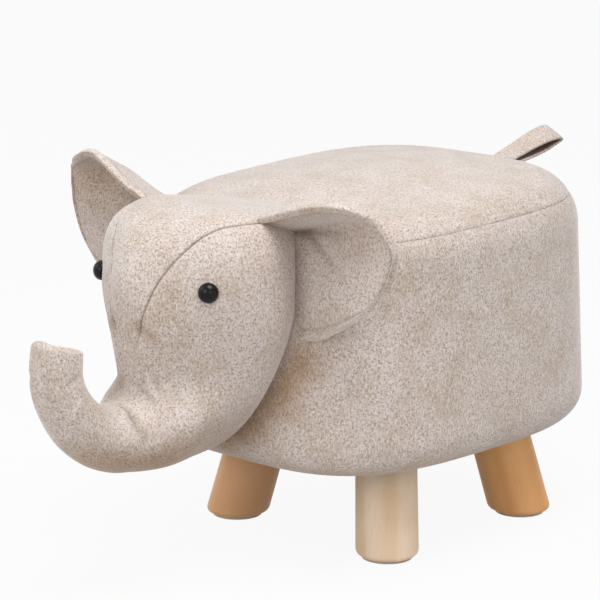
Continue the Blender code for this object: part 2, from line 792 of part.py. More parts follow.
def offset_rings(rings, tip, depth):
    """The rings and tip of a skin moved in by this depth along its normals, or out where it is below 0."""
    bm = bmesh.new()
    bm.from_mesh(loft("offset", rings, tip=tip))
    bm.verts.ensure_lookup_table()
    points = [v.co - v.normal * depth for v in bm.verts]
    bm.free()
    moved = [points[i : i + HEAD_STEPS] for i in range(0, len(rings) * HEAD_STEPS, HEAD_STEPS)]
    return moved, points[len(rings) * HEAD_STEPS]


def make_head(parts, cutters, root, cloth, filling, envelope):
    """The sewn skin of head and trunk in one, with its stuffing in two pieces inside."""
    ends, tip = tip_rings()
    rows = head_rows()
    rings = [face_ring(row, 0) for row in rows + TRUNK_SHARES] + ends
    skin = loft("head_cover", rings, capped=False, tip=tip)
    head_cover = add_object("head_cover", skin, parts, cloth, root)
    thicken(head_cover, CLOTH)

    depth = CLOTH + 2 * GAP
    inner, inner_tip = offset_rings(rings, tip, depth)
    joint = len(rows)
    crown, jaw = face_station(HEAD_SHARES[-1], 0)[:2]
    forward = (crown - jaw).cross(Vector((1, 0, 0))).normalized()
    forward = forward if forward.y < 0 else -forward
    plane = crown.dot(forward) - CLOTH - GAP
    last = [point + forward * (plane - point.dot(forward)) for point in inner[joint - 1]]
    head_mesh = loft("head_stuffing", inner[: joint - 1] + [last])
    head_stuffing = add_object("head_stuffing", head_mesh, parts, filling, root)
    first = [point + forward * GAP for point in last]
    trunk_mesh = loft("trunk_stuffing", [first] + inner[joint:], tip=inner_tip)
    add_object("trunk_stuffing", trunk_mesh, parts, filling, root)

    for piece in (head_cover, head_stuffing):
        cut(piece, envelope)
    outer, outer_tip = offset_rings(rings, tip, -GAP)
    outside = loft("face_envelope", outer, tip=outer_tip)
    face_envelope = add_cutter("face_envelope", outside, cutters, root)
    return head_cover, head_stuffing, face_envelope


def surface_frame(obj, x, z):
    """Where the outside of an object is met from the front at x and z, turned so that Z points out of it."""
    graph = bpy.context.evaluated_depsgraph_get()
    found, place, normal, _ = obj.evaluated_get(graph).ray_cast(
        Vector((x, FACE_ROOT - HEAD_LENGTH - TRUNK_REACH, z)), Vector((0, 1, 0))
    )
    if not found:
        raise ValueError("no surface there")
    turn = Vector((0, 0, 1)).rotation_difference(normal)
    return place, turn


def make_eyes(parts, cutters, root, black, plastic, head_cover, head_stuffing):
    """Domed eyes with a shank through the cloth and a washer pressed on behind it."""
    dome = [(0, GAP + EYE_RADIUS * EYE_DOME_SHARE)]
    for i in range(1, 6):
        angle = 0.5 * math.pi * i / 5
        dome.append(
            (EYE_RADIUS * math.sin(angle), GAP + EYE_RADIUS * EYE_DOME_SHARE * math.cos(angle))
        )
    eye_profile = dome + [(EYE_SHANK_RADIUS, GAP), (EYE_SHANK_RADIUS, -EYE_SHANK), (0, -EYE_SHANK)]
    washer_inner = EYE_SHANK_RADIUS + GAP
    washer_top = -CLOTH - WASHER_SETBACK
    washer_bottom = washer_top - WASHER
    washer_profile = (
        (washer_inner, washer_top),
        (WASHER_RADIUS, washer_top),
        (WASHER_RADIUS, washer_bottom),
        (washer_inner, washer_bottom),
        (washer_inner, washer_top),
    )
    pocket_profile = (
        (0, OVERRUN),
        (washer_inner, OVERRUN),
        (washer_inner, -CLOTH - GAP),
        (WASHER_RADIUS + GAP, -CLOTH - GAP),
        (WASHER_RADIUS + GAP, washer_bottom - WASHER_BACK),
        (washer_inner, washer_bottom - WASHER_BACK),
        (washer_inner, -EYE_SHANK - GAP),
        (0, -EYE_SHANK - GAP),
    )
    hole_profile = (
        (0, OVERRUN),
        (washer_inner, OVERRUN),
        (washer_inner, -CLOTH - GAP),
        (0, -CLOTH - GAP),
    )
    for name, side in (("left", 1), ("right", -1)):
        place, turn = surface_frame(head_cover, side * EYE_SPREAD, EYE_HEIGHT)
        for piece, profile, finish in (
            ("eye", eye_profile, black),
            ("eye_washer", washer_profile, plastic),
        ):
            mesh = turned(piece, profile, EYE_STEPS)
            obj = add_object(f"{name}_{piece}", mesh, parts, finish, root)
            obj.location = place
            obj.rotation_euler = turn.to_euler()
        for label, profile, target in (
            ("eye_pocket", pocket_profile, head_stuffing),
            ("eye_hole", hole_profile, head_cover),
        ):
            cutter = add_cutter(f"{name}_{label}", turned(label, profile, EYE_STEPS), cutters, root)
            cutter.location = place
            cutter.rotation_euler = turn.to_euler()
            cut(target, cutter)


# Ears


def ear_place(shares):
    """From shares to a place on the left ear."""
    out, forward, up = shares
    return Vector(
        (
            EAR_ROOT_SPREAD + out * EAR_WIDTH,
            FACE_ROOT - forward * EAR_FORWARD,
            EAR_FOOT_HEIGHT + up * EAR_HEIGHT,
        )
    )


def ear_point(top_shares, down, across):
    """A point of the ear's middle layer: its four edges blended, and cupped backwards inside them."""
    outer_shares = (top_shares[-1], *EAR_OUTER_SHARES[1:])
    root = along(EAR_ROOT_SHARES, down)
    outer = along(outer_shares, down)
    top = along(top_shares, across)
    lower = along(EAR_LOWER_SHARES, across)
    fall = np.array((down, down**EAR_BACK_EARLY, down**EAR_DROP_LATE))
    upper = (1 - across) * np.array(EAR_ROOT_SHARES[0]) + across * np.array(outer_shares[0])
    under = (1 - across) * np.array(EAR_ROOT_SHARES[-1]) + across * np.array(outer_shares[-1])
    sides = (1 - across) * root + across * outer
    blended = sides + (1 - fall) * (top - upper) + fall * (lower - under)
    cup = math.sin(math.pi * down**EAR_CUP_NEAR_TOP) * math.sin(
        math.pi * across**EAR_CUP_NEAR_ROOT
    )
    return ear_place(blended) + Vector((0, EAR_CUP * cup, 0))


def make_ears(parts, root, cloth, envelopes):
    """Cupped double-cloth ears, each swinging on the line where it is sewn between head and drum."""
    for name, side, top_shares in (
        ("left", 1, LEFT_EAR_TOP_SHARES),
        ("right", -1, RIGHT_EAR_TOP_SHARES),
    ):
        hinge = bpy.data.objects.new(f"{name}_ear_hinge", None)
        hinge.location = (side * EAR_ROOT_SPREAD, EAR_SEWN_AT, EAR_FOOT_HEIGHT)
        hinge.parent = root
        parts.objects.link(hinge)
        bm = bmesh.new()
        grid = [
            [
                bm.verts.new(
                    Vector((side, 1, 1))
                    * ear_point(
                        top_shares, (row / EAR_ROWS) ** EAR_ROW_CROWDING, column / EAR_COLUMNS
                    )
                    - hinge.location
                )
                for column in range(EAR_COLUMNS + 1)
            ]
            for row in range(EAR_ROWS + 1)
        ]
        for row in range(EAR_ROWS):
            for column in range(EAR_COLUMNS):
                corners = (
                    grid[row][column],
                    grid[row + 1][column],
                    grid[row + 1][column + 1],
                    grid[row][column + 1],
                )
                bm.faces.new(corners[::side])
        mesh = bpy.data.meshes.new(f"{name}_ear")
        bm.to_mesh(mesh)
        bm.free()
        mesh.shade_smooth()
        ear = add_object(f"{name}_ear", mesh, parts, cloth, hinge)
        cloth_layers = ear.modifiers.new("layers", "SOLIDIFY")
        cloth_layers.thickness = EAR_THICKNESS
        cloth_layers.offset = 0
        rounding = ear.modifiers.new("rounding", "SUBSURF")
        rounding.levels = rounding.render_levels = 1
        for envelope in envelopes:
            cut(ear, envelope)


# Tail loop


def tail_path():
    """(share of the length, distance out, half the gap between the plies) along the loop."""
    points = []
    for i in range(TAIL_STATIONS):
        share = i / (TAIL_STATIONS - 1)
        out = share * TAIL_LENGTH
        bulge = math.sin(math.pi * share**TAIL_BULGE_GROWTH) ** TAIL_BULGE_FULLNESS
        spread = TAIL_PLY_SPREAD / 2 * bulge + TAIL_STRAP
        points.append((share, out, spread))
    return points


def make_tail(parts, root, cloth, envelope):
    """A folded strap standing out of the rim seam at the back, rolled a little to one side at its tip."""
    path = tail_path()
    back = DRUM_HALF_LENGTH - TAIL_BURIED
    root_height = SEAM_HEIGHT + slope(SEAM_HEIGHT, DRUM_HALF_LENGTH)
    upper = [(share, out, spread) for share, out, spread in path]
    lower = [(share, out, -spread) for share, out, spread in reversed(path)]
    fold_share, fold_out, _ = path[-1]
    stations = upper + [(fold_share, fold_out + TAIL_STRAP, 0)] + lower
    bm = bmesh.new()
    edges = []
    for share, out, spread in stations:
        roll = TAIL_TIP_ROLL * share**TAIL_ROLL_GROWTH
        middle = Vector((0, back + out, root_height + TAIL_RISE * share**TAIL_RISE_GROWTH))
        across = Vector((math.cos(roll), 0, -math.sin(roll)))
        normal = Vector((math.sin(roll), 0, math.cos(roll)))
        centre = middle + normal * spread
        edges.append(
            [bm.verts.new(centre + across * (side * TAIL_WIDTH / 2)) for side in (-1, 0, 1)]
        )
    for one, other in zip(edges[:-1], edges[1:]):
        for i in range(2):
            bm.faces.new((one[i], one[i + 1], other[i + 1], other[i]))
    mesh = bpy.data.meshes.new("tail_loop")
    bm.to_mesh(mesh)
    bm.free()
    mesh.shade_smooth()
    tail = add_object("tail_loop", mesh, parts, cloth, root)
    strap = tail.modifiers.new("strap", "SOLIDIFY")
    strap.thickness = TAIL_STRAP
    strap.offset = 0
    strap.use_even_offset = True
    cut(tail, envelope)


def centre_on_floor(root, parts):
    """Moves the footstool so that the middle of its box stands over the origin, on the floor."""
    bpy.context.view_layer.update()
    graph = bpy.context.evaluated_depsgraph_get()
    corners = [
        obj.evaluated_get(graph).matrix_world @ Vector(corner)
        for obj in parts.objects
        if obj.type == "MESH"
        for corner in obj.evaluated_get(graph).bound_box
    ]
    low = [min(c[i] for c in corners) for i in range(3)]
    high = [max(c[i] for c in corners) for i in range(3)]
    root.location = (-(low[0] + high[0]) / 2, -(low[1] + high[1]) / 2, -low[2])


def main():
    clear_scene()
    parts = collection("elephant footstool")
    cutters = collection("cutters")
    root = bpy.data.objects.new("footstool", None)
    parts.objects.link(root)

    cloth = material("suede cloth", CLOTH_COLOUR, 0.9)
    foam = material("foam", FOAM_COLOUR, 0.95)
    filling = material("fibre filling", FILLING_COLOUR, 0.95)
    ply = material("plywood", PLY_COLOUR, 0.7)
    beech = material("beech", BEECH_COLOUR, 0.5)
    hardboard = material("hardboard", LINER_COLOUR, 0.7)
    zinc = material("zinc plated steel", ZINC_COLOUR, 0.35, 1.0)
    black = material("black plastic", BLACK_COLOUR, 0.12)
    rubber = material("felt pad", PAD_COLOUR, 0.9)
    dust = material("dust cloth", DUST_COLOUR, 0.95)

    leg_places = make_legs(parts, cutters, root, beech, zinc, rubber)
    base, seat = make_boards(parts, cutters, root, ply, leg_places)
    posts = make_posts(parts, root, ply)
    make_frame_screws(parts, cutters, root, zinc, posts, base, seat)
    make_liner(parts, root, hardboard)
    make_side_padding(parts, root, foam)
    make_seat_foam(parts, root, foam)
    make_covers(parts, root, cloth)
    make_dust_cover(parts, cutters, root, dust, leg_places)

    envelope = add_cutter("drum_envelope", drum_envelope(), cutters, root)
    head_cover, head_stuffing, face_envelope = make_head(
        parts, cutters, root, cloth, filling, envelope
    )
    make_eyes(parts, cutters, root, black, black, head_cover, head_stuffing)
    make_ears(parts, root, cloth, (envelope, face_envelope))
    make_tail(parts, root, cloth, envelope)
    centre_on_floor(root, parts)


main()
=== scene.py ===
import json
import math
from functools import partial

import bmesh
import bpy
import numpy as np
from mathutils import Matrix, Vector
from mathutils.bvhtree import BVHTree


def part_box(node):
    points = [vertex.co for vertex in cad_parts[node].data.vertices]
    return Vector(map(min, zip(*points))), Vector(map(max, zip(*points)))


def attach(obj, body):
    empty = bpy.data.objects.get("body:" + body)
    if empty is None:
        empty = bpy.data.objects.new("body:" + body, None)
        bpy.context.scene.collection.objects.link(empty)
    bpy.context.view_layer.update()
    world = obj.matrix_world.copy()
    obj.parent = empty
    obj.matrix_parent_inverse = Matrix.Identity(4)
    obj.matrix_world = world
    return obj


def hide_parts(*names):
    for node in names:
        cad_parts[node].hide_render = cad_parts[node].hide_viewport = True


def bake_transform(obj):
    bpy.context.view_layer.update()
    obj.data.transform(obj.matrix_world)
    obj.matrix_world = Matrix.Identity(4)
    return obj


bl_info = {
    "name": "Elephant Footstool",
    "version": (1, 0, 0),
    "blender": (4, 5, 0),
    "location": "View3D > Sidebar > Footstool",
    "description": "Dresses the packed footstool: suede cloth, seams, eyes, turned legs and a photo studio",
    "category": "Add Mesh",
}

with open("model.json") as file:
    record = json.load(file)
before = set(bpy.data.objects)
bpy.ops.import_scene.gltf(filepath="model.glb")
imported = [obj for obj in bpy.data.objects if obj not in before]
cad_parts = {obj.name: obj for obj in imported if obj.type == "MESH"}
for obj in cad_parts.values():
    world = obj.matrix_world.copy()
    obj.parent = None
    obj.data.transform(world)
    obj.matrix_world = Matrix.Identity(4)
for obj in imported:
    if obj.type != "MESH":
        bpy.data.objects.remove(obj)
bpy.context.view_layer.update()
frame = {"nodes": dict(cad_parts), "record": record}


def srgb(text):
    """A hex colour, as a maker reads it off a swatch, turned to linear."""
    shares = [int(text[i : i + 2], 16) / 255 for i in (1, 3, 5)]
    return tuple(s / 12.92 if s <= 0.04045 else ((s + 0.055) / 1.055) ** 2.4 for s in shares)


MM = 0.001
wall_low, wall_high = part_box("side_cover")
# From the drum's own middle to where the frame has it
SHIFT = np.array(((wall_low.x + wall_high.x) / 2, (wall_low.y + wall_high.y) / 2, 0))

# The drum, in metres from its own middle
HALF_WIDTH = 0.1344
HALF_LENGTH = 0.1558
SQUARENESS = 3.2
FLARE = 0.059
UNDERSIDE = wall_low.z
RIM = 0.2752
SEAM = 0.258
RISE = 0.043
RISE_FROM = 0.2288
CROWN = 0.0095
FOOT_ROUND = 0.028
RIM_ROUND = 0.0363
HEM = 0.014
# How far round the rim the seam lies, and how far from it the rows beside it lie
SEAM_TURN = math.asin((SEAM - RIM + RIM_ROUND) / RIM_ROUND)
SEAM_STEPS = (0.0001, 0.0004, 0.0008, 0.0013, 0.0019, 0.0026, 0.0035)
DRUM_COLUMNS = 224
# The line under the head along which a painted shadow browns the wall's cloth
DRUM_PAINTED_SHADOW = (
    (0.073, -0.154, 0.166),
    (0.058, -0.159, 0.1395),
    (0.0205, -0.163, 0.110),
    (-0.0005, -0.1615, 0.094),
)

# The head, from inside the drum to the trunk's root, as shares of its length and height: how far forward and
# up its crown line lies, the same for its jaw line, its half width, how high up it is widest, the roundness
# above and below that, and how far the bridge is pinched.
FACE_ROOT = -0.1672
HEAD_LENGTH = 0.096
HEAD_HEIGHT = 0.19
HEAD_HALF_WIDTH = 0.079
JAW = 0.0915
HEAD_SHARES = (
    (-0.720, 0.918, -0.410, 0.040, 0.87, 0.62, 4.5, 1.60, 0.00),
    (-0.354, 0.963, -0.230, 0.024, 0.89, 0.62, 4.5, 1.55, 0.00),
    (-0.040, 0.992, -0.083, 0.016, 0.95, 0.62, 4.5, 1.55, 0.00),
    (0.208, 1.003, 0.062, 0.010, 1.00, 0.62, 4.4, 1.55, 0.00),
    (0.510, 0.982, 0.240, 0.005, 0.935, 0.60, 3.6, 1.60, 0.05),
    (0.740, 0.926, 0.406, 0.002, 0.80, 0.50, 2.4, 1.70, 0.22),
    (0.896, 0.834, 0.552, 0.000, 0.69, 0.38, 1.8, 1.80, 0.38),
    (0.974, 0.718, 0.667, 0.000, 0.615, 0.34, 1.65, 1.90, 0.50),
    (0.969, 0.603, 0.770, 0.002, 0.555, 0.36, 1.6, 2.00, 0.56),
    (0.932, 0.474, 0.854, 0.005, 0.50, 0.40, 1.6, 2.00, 0.55),
    (0.930, 0.358, 0.938, 0.010, 0.455, 0.45, 1.7, 2.00, 0.45),
)
# The same for the round trunk, forward of the forehead and up from the jaw, with its half width.
TRUNK_REACH = 0.083
TRUNK_HEIGHT = 0.115
TRUNK_RADIUS = 0.0325
TRUNK_SHARES = (
    (-0.015, 0.490, 0.048, 0.030, 1.000),
    (0.135, 0.484, 0.205, 0.050, 0.900),
    (0.280, 0.495, 0.422, 0.117, 0.790),
    (0.402, 0.574, 0.663, 0.252, 0.700),
    (0.487, 0.662, 0.838, 0.422, 0.630),
    (0.522, 0.752, 0.952, 0.600, 0.585),
    (0.510, 0.835, 0.982, 0.780, 0.565),
    (0.508, 0.875, 0.955, 0.945, 0.545),
)
# Rings of the trunk's end, outermost first: share of the radius, how far down in mm, share of the lip's rise
TRUNK_END = (
    (0.985, -0.6, 0.5),
    (0.94, -1.5, 0.8),
    (0.87, -1.9, 1.0),
    (0.79, -1.4, 1.0),
    (0.70, -0.2, 0.9),
    (0.58, 1.4, 0.6),
    (0.40, 2.8, 0.3),
    (0.20, 3.6, 0.1),
)


def head_stations():
    """Each section in metres: crown y and z, jaw y and z, half width, then its shape."""
    rows = []
    for crown_y, crown_z, jaw_y, jaw_z, width, *shape in HEAD_SHARES:
        crown = (FACE_ROOT - crown_y * HEAD_LENGTH, JAW + crown_z * HEAD_HEIGHT)
        jaw = (FACE_ROOT - jaw_y * HEAD_LENGTH, JAW + jaw_z * HEAD_HEIGHT)
        rows.append((*crown, *jaw, width * HEAD_HALF_WIDTH, *shape))
    forehead = FACE_ROOT - HEAD_LENGTH
    for crown_y, crown_z, jaw_y, jaw_z, width in TRUNK_SHARES:
        crown = (forehead - crown_y * TRUNK_REACH, JAW + crown_z * TRUNK_HEIGHT)
        jaw = (forehead - jaw_y * TRUNK_REACH, JAW + jaw_z * TRUNK_HEIGHT)
        rows.append((*crown, *jaw, width * TRUNK_RADIUS, 0.5, 2, 2, 0))
    return rows


HEAD_STATIONS = head_stations()
HEAD_SPANS = len(HEAD_STATIONS) - 1
# The height of the bridge, and how far above and below it the pinch reaches
BRIDGE = 0.163
BRIDGE_ABOVE = 0.045
BRIDGE_BELOW = 0.02
# Where the forehead panel's seam lies at each station, in degrees from the crown line
SEAM_ANGLES = (41, 41, 41, 41, 36, 33.5, 29, 27, 26, 22, 12, 7, 7, 7, 7, 7, 7, 7, 7)
# Columns of the half section: on the panel, at these distances beside the seam, and on the side
PANEL_COLUMNS = 12
BESIDE_SEAM = np.array((-4.5, -3.0, -2.0, -1.3, -0.8, -0.4, 0.0, 0.4, 0.8, 1.3, 2.0, 3.0, 4.5)) * MM
SIDE_COLUMNS = 40
HALF_COLUMNS = PANEL_COLUMNS + len(BESIDE_SEAM) - 1 + SIDE_COLUMNS

# Ears: the rows of their four edges are shares of the width, the reach forward and the height
EAR_ROOT_X = 0.072
EAR_WIDTH = 0.0965
EAR_FORWARD = 0.021
EAR_FOOT = 0.19
EAR_HEIGHT = 0.102
EAR_ROOT = (
    (-0.130, 0.85, 0.848),
    (-0.130, 0.18, 0.776),
    (-0.130, -0.49, 0.735),
    (-0.110, -0.80, 0.640),
    (-0.090, -0.80, 0.490),
    (-0.080, -0.79, 0.216),
    (-0.070, -0.76, -0.060),
)
EAR_TOPS = {
    "left": (
        (-0.130, 0.85, 0.848),
        (0.200, 0.905, 0.947),
        (0.473, 0.81, 1.01),
        (0.736, 0.62, 1.012),
        (0.900, -0.19, 0.90),
    ),
    "right": (
        (-0.130, 0.85, 0.848),
        (0.104, 0.905, 0.944),
        (0.461, 0.81, 1.118),
        (0.706, 0.62, 1.058),
        (0.931, -0.19, 0.961),
    ),
}
EAR_OUTER = ((0.985, -0.47, 0.756), (0.985, -0.54, 0.64), (0.905, -0.52, 0.455), (0.746, -0.38, 0.275))
EAR_LOWER = (
    (-0.070, -0.76, -0.060),
    (0.182, -0.60, -0.035),
    (0.393, -0.45, 0.051),
    (0.592, -0.38, 0.161),
    (0.746, -0.38, 0.275),
)
# How far down the ear its roof folds into its back, at these shares of its width
EAR_FOLD_ACROSS = (0.0, 0.34, 0.62, 0.88, 1.0)
EAR_FOLD_DOWN = (0.32, 0.23, 0.20, 0.06, 0.02)
# Soft folds in the ear's back, as places across from the middle and up, then how deep and how wide they are
# in mm, and how dark the painted shade along them is
EAR_FOLDS = (
    (((0.062, 0.2620), (0.075, 0.2635), (0.100, 0.2665), (0.128, 0.2715)), 0.8, 5, 0.80),
    (((0.070, 0.264), (0.085, 0.256), (0.101, 0.247), (0.128, 0.234)), 4.0, 11, 0.50),
    (((0.125, 0.258), (0.160, 0.253)), 1.2, 5, 0.08),
    (((0.080, 0.225), (0.120, 0.222), (0.140, 0.215)), 1.4, 8, 0.0),
)
# How much painted shade browns each ear's front up under its roof; the right ear, more in shade, has more
EAR_PAINTED_SHADE = {"left": 0.20, "right": 0.42}

# The nick beside the bridge, a small dent that holds painted shade
BRIDGE_NICK = ((0.013, -0.2555, 0.203), (0.0175, -0.255, 0.1985), (0.021, -0.2525, 0.1965))
# Creases on a side of the head and trunk: the way each takes, how deep and how wide it is in mm, how dark the
# painted shade in it is
HEAD_CREASES = (
    (((0.061, -0.1815, 0.274), (0.064, -0.171, 0.2705), (0.0615, -0.1455, 0.2645)), 1.6, 3.0, 0.50),
    (((0.0615, -0.1455, 0.2645), (0.0645, -0.147, 0.2565), (0.065, -0.147, 0.2445)), 2.0, 3.0, 0.60),
    (((0.065, -0.147, 0.2445), (0.065, -0.144, 0.210), (0.058, -0.1355, 0.1785)), 2.0, 3.0, 0.60),
    (((0.0075, -0.2695, 0.146), (0.013, -0.269, 0.1445), (0.020, -0.271, 0.1405)), 2.4, 2.8, 0.45),
    (((0.020, -0.271, 0.1405), (0.025, -0.2725, 0.134), (0.0295, -0.2685, 0.124)), 2.6, 2.8, 0.50),
    (((0.014, -0.2595, 0.149), (0.022, -0.260, 0.143), (0.0315, -0.2605, 0.1335)), -1.3, 4.5, 0.0),
    (((0.018, -0.2495, 0.163), (0.023, -0.247, 0.154), (0.0355, -0.2475, 0.140)), 2.0, 3.6, 0.16),
    (((0.024, -0.243, 0.1665), (0.0275, -0.2405, 0.157), (0.034, -0.240, 0.1495)), 1.6, 3.6, 0.12),
    (((0.0245, -0.248, 0.186), (0.0295, -0.2385, 0.1705), (0.035, -0.234, 0.1555)), 1.2, 6.0, 0.0),
    (((0.011, -0.258, 0.153), (0.021, -0.258, 0.146)), 4.0, 7.0, 0.0),
    (((0.0205, -0.3195, 0.161), (0.0205, -0.3235, 0.1545), (0.018, -0.327, 0.149)), -1.2, 3.2, 0.0),
    (((0.005, -0.343, 0.1785), (0.013, -0.3375, 0.1765), (0.016, -0.3285, 0.175)), 1.2, 2.4, 0.16),
    (((0.016, -0.3285, 0.175), (0.0175, -0.3225, 0.1765)), 1.6, 2.6, 0.30),
    (BRIDGE_NICK, 2.4, 3.2, 0.30),
)
# Where painted shade browns the head's cloth, in its folds and nick: the way, how wide in mm, and how much
HEAD_PAINTED_SHADES = (
    (BRIDGE_NICK, 6, 0.60),
    (((0.026, -0.255, 0.210), (0.033, -0.248, 0.230)), 9, 0.35),
    (((0.0295, -0.2685, 0.124), (0.020, -0.271, 0.1405)), 5, 0.25),
)

# How high an eye's dome stands, as a share of its radius
EYE_DOME = 0.86

# The tail's strap: how far it reaches out and rises, its width and thickness, how far each ply bows out from
# the middle, where it is sewn in, and how far its end rolls over
TAIL_LENGTH = 98 * MM
TAIL_RISE = 21 * MM
TAIL_WIDTH = 21 * MM
TAIL_PLY = 3 * MM
TAIL_OPEN = 3 * MM
TAIL_Y = HALF_LENGTH - 21 * MM
TAIL_Z = SEAM + RISE * HALF_LENGTH * (SEAM - RISE_FROM) / (RIM - RISE_FROM)
TAIL_ROLL = math.radians(28)

# Each leg: which way it stands from the middle, and its tint, because each is turned from a stick of its own
LEGS = {
    "front_left": (1, -1, "#FFF8EE"),
    "front_right": (-1, -1, "#F6D3B2"),
    "back_left": (1, 1, "#FFD19B"),
    "back_right": (-1, 1, "#F8DDB8"),
}
LEG_SET_BACK = 15.6 * MM
LEG_TOP_SPREAD = 66 * MM
LEG_FOOT_SPREAD = 80.5 * MM
# The radii are those of a cone that is 25 mm too long at each end, and is then cut level
LEG_FOOT_RADIUS = 24.5 * MM
LEG_TOP_RADIUS = 23.5 * MM
LEG_SPARE = 50 * MM
LEG_FOOT_EDGE = 4.5 * MM
LEG_TOP_EDGE = 1 * MM

STAPLES = 44
STAPLE_IN = 5 * MM
STAPLE_LENGTH = 9 * MM
STAPLE_RADIUS = 0.35 * MM

# Each lamp: where it hangs and how wide it is
LAMPS = {
    "key": ((0.55, -0.25, 1.7), 1.1),
    "left": ((-1.1, -1.2, 1.2), 1.0),
    "front": ((0.2, -1.8, 0.9), 1.0),
    "right": ((1.5, -0.9, 0.75), 0.9),
}
LAMPS_AIM = Vector((0, 0, 0.15))
CAMERA_PLACE = (1.3513, -1.5064, 0.6405)
CAMERA_AZIMUTH = math.radians(43.384)
CAMERA_ELEVATION = math.radians(12.890)
CAMERA_LENS = 158.06
CAMERA_SENSOR = 36
FLOOR_SIZE = 30
FLOOR_GREY = 0.68
FLOOR_GLOW = 0.93


class FootstoolCloth(bpy.types.PropertyGroup):
    pale: bpy.props.FloatVectorProperty(
        name="Pale", description="Ground colour of the suede cloth", subtype="COLOR", default=srgb("#D3C8C2")
    )
    tan: bpy.props.FloatVectorProperty(
        name="Tan", description="Warmer patches, nap lying over", subtype="COLOR", default=srgb("#C2B1A2")
    )
    blush: bpy.props.FloatVectorProperty(
        name="Blush", description="Pinker patches", subtype="COLOR", default=srgb("#D0BEB9")
    )
    speck: bpy.props.FloatVectorProperty(
        name="Speck", description="Colour of the printed specks", subtype="COLOR", default=srgb("#A49384")
    )
    stroke: bpy.props.FloatVectorProperty(
        name="Stroke", description="Pale strokes over the specks", subtype="COLOR", default=srgb("#E6DCD5")
    )
    lining: bpy.props.FloatVectorProperty(
        name="Lining", description="Knitted back of the cloth", subtype="COLOR", default=srgb("#7A5244")
    )
    # Painted shade deep in seams, creases, folds and stitches
    painted_groove_shade: bpy.props.FloatVectorProperty(
        name="Seam shade", description="Cloth deep in a seam", subtype="COLOR", default=srgb("#6B584A")
    )
    # Warm brown painted shade, multiplied in under the jaw and head, at the foot, in folds and under the
    # ears' roofs
    warm: bpy.props.FloatVectorProperty(
        name="Warm shade", description="Browns the warm places", subtype="COLOR", default=srgb("#CAB192")
    )
    speck_size: bpy.props.FloatProperty(
        name="Speck size", description="Width of one printed speck", unit="LENGTH", default=1.5 * MM
    )
    patch_size: bpy.props.FloatProperty(
        name="Patch size", description="Width of a lighter or darker patch", unit="LENGTH", default=26 * MM
    )
    seam_depth: bpy.props.FloatProperty(
        name="Seam depth", description="How far a seam draws the cloth in", unit="LENGTH", default=1.1 * MM
    )


class FootstoolParts(bpy.types.PropertyGroup):
    ear_thickness: bpy.props.FloatProperty(
        name="Ear thickness", description="Both cloths and the thin filling", unit="LENGTH", default=4.6 * MM
    )
    ear_cup: bpy.props.FloatProperty(
        name="Ear cup", description="How far the ear's middle is hollowed", unit="LENGTH", default=19 * MM
    )
    eye_radius: bpy.props.FloatProperty(
        name="Eye radius", description="Half the width of an eye", unit="LENGTH", default=7.5 * MM
    )
    eye_spread: bpy.props.FloatProperty(
        name="Eye spread", description="From the middle to each eye", unit="LENGTH", default=55.8 * MM
    )
    eye_height: bpy.props.FloatProperty(
        name="Eye height", description="Above the floor", unit="LENGTH", default=229.6 * MM
    )
    wood: bpy.props.FloatVectorProperty(
        name="Wood", description="Pale early wood of the legs", subtype="COLOR", default=srgb("#FCEAD6")
    )
    wood_dark: bpy.props.FloatVectorProperty(
        name="Late wood", description="Darker lines in the grain", subtype="COLOR", default=srgb("#E8C8A2")
    )


class FootstoolStudio(bpy.types.PropertyGroup):
    key_power: bpy.props.FloatProperty(
        name="Key lamp", description="Power of the lamp above the seat", unit="POWER", default=20.0
    )
    left_power: bpy.props.FloatProperty(
        name="Left lamp", description="Power of the lamp left of the camera", unit="POWER", default=4.5
    )
    front_power: bpy.props.FloatProperty(
        name="Front lamp", description="Power of the low lamp before the head", unit="POWER", default=6.0
    )
    right_power: bpy.props.FloatProperty(
        name="Right lamp", description="Power of the lamp right of the camera", unit="POWER", default=1.5
    )
    world: bpy.props.FloatProperty(
        name="Room light", description="Light that comes from all round", default=0.48
    )


# Shapes


def through(table, share):
    """The rows of a table at these shares of its length, along a smooth curve through them all."""
    table = np.asarray(table, float)
    spans = len(table) - 1
    place = np.clip(np.asarray(share, float), 0, 1) * spans
    span = np.minimum(place.astype(int), spans - 1)
    t = (place - span)[..., None]
    before, start = table[np.maximum(span - 1, 0)], table[span]
    end, after = table[span + 1], table[np.minimum(span + 2, spans)]
    return 0.5 * (
        2 * start
        + (end - before) * t
        + (2 * before - 5 * start + 4 * end - after) * t**2
        + (3 * start - before - 3 * end + after) * t**3
    )


def ease(value, low, high):
    """A smooth rise from 0 at low to 1 at high."""
    t = np.clip((value - low) / (high - low), 0, 1)
    return t * t * (3 - 2 * t)


def bell(away, width):
    """1 on a line, and next to nothing two widths away from it, as across a groove."""
    return np.exp(-((away / width) ** 2))


def fading(away, width):
    """1 on a line, and less and less away from it, as where a seam pulls at the cloth."""
    return np.exp(-away / width)


def waves(place, seed, count=5):
    """A soft uneven wave of about -1 to 1, the same each time for a seed."""
    random = np.random.default_rng(seed)
    total = 0
    for _ in range(count):
        total = total + np.sin(place * random.uniform(0.7, 1.6) + random.uniform(0, 6.28))
    return total / math.sqrt(count) * 0.8


def away_from(places, route):
    """How far each place is from a line of straight stretches."""
    best = np.full(len(places), np.inf)
    for start, end in zip(np.array(route[:-1]), np.array(route[1:])):
        span = end - start
        share = np.clip((places - start) @ span / (span @ span), 0, 1)
        best = np.minimum(best, np.linalg.norm(places - start - share[:, None] * span, axis=1))
    return best


def near_side(places):
    """The same places, with those right of the middle mirrored to the left."""
    return np.column_stack((np.abs(places[:, 0]), places[:, 1:]))


def unit(rows):
    """Each row at a length of one."""
    return rows / np.maximum(np.linalg.norm(rows, axis=1, keepdims=True), 1e-12)


def change_of(places_at, value, low=0, high=1):
    """How places change over a small step in a value that runs from low to high."""
    nudge = 1e-3
    return places_at(np.clip(value + nudge, low, high)) - places_at(np.clip(value - nudge, low, high))


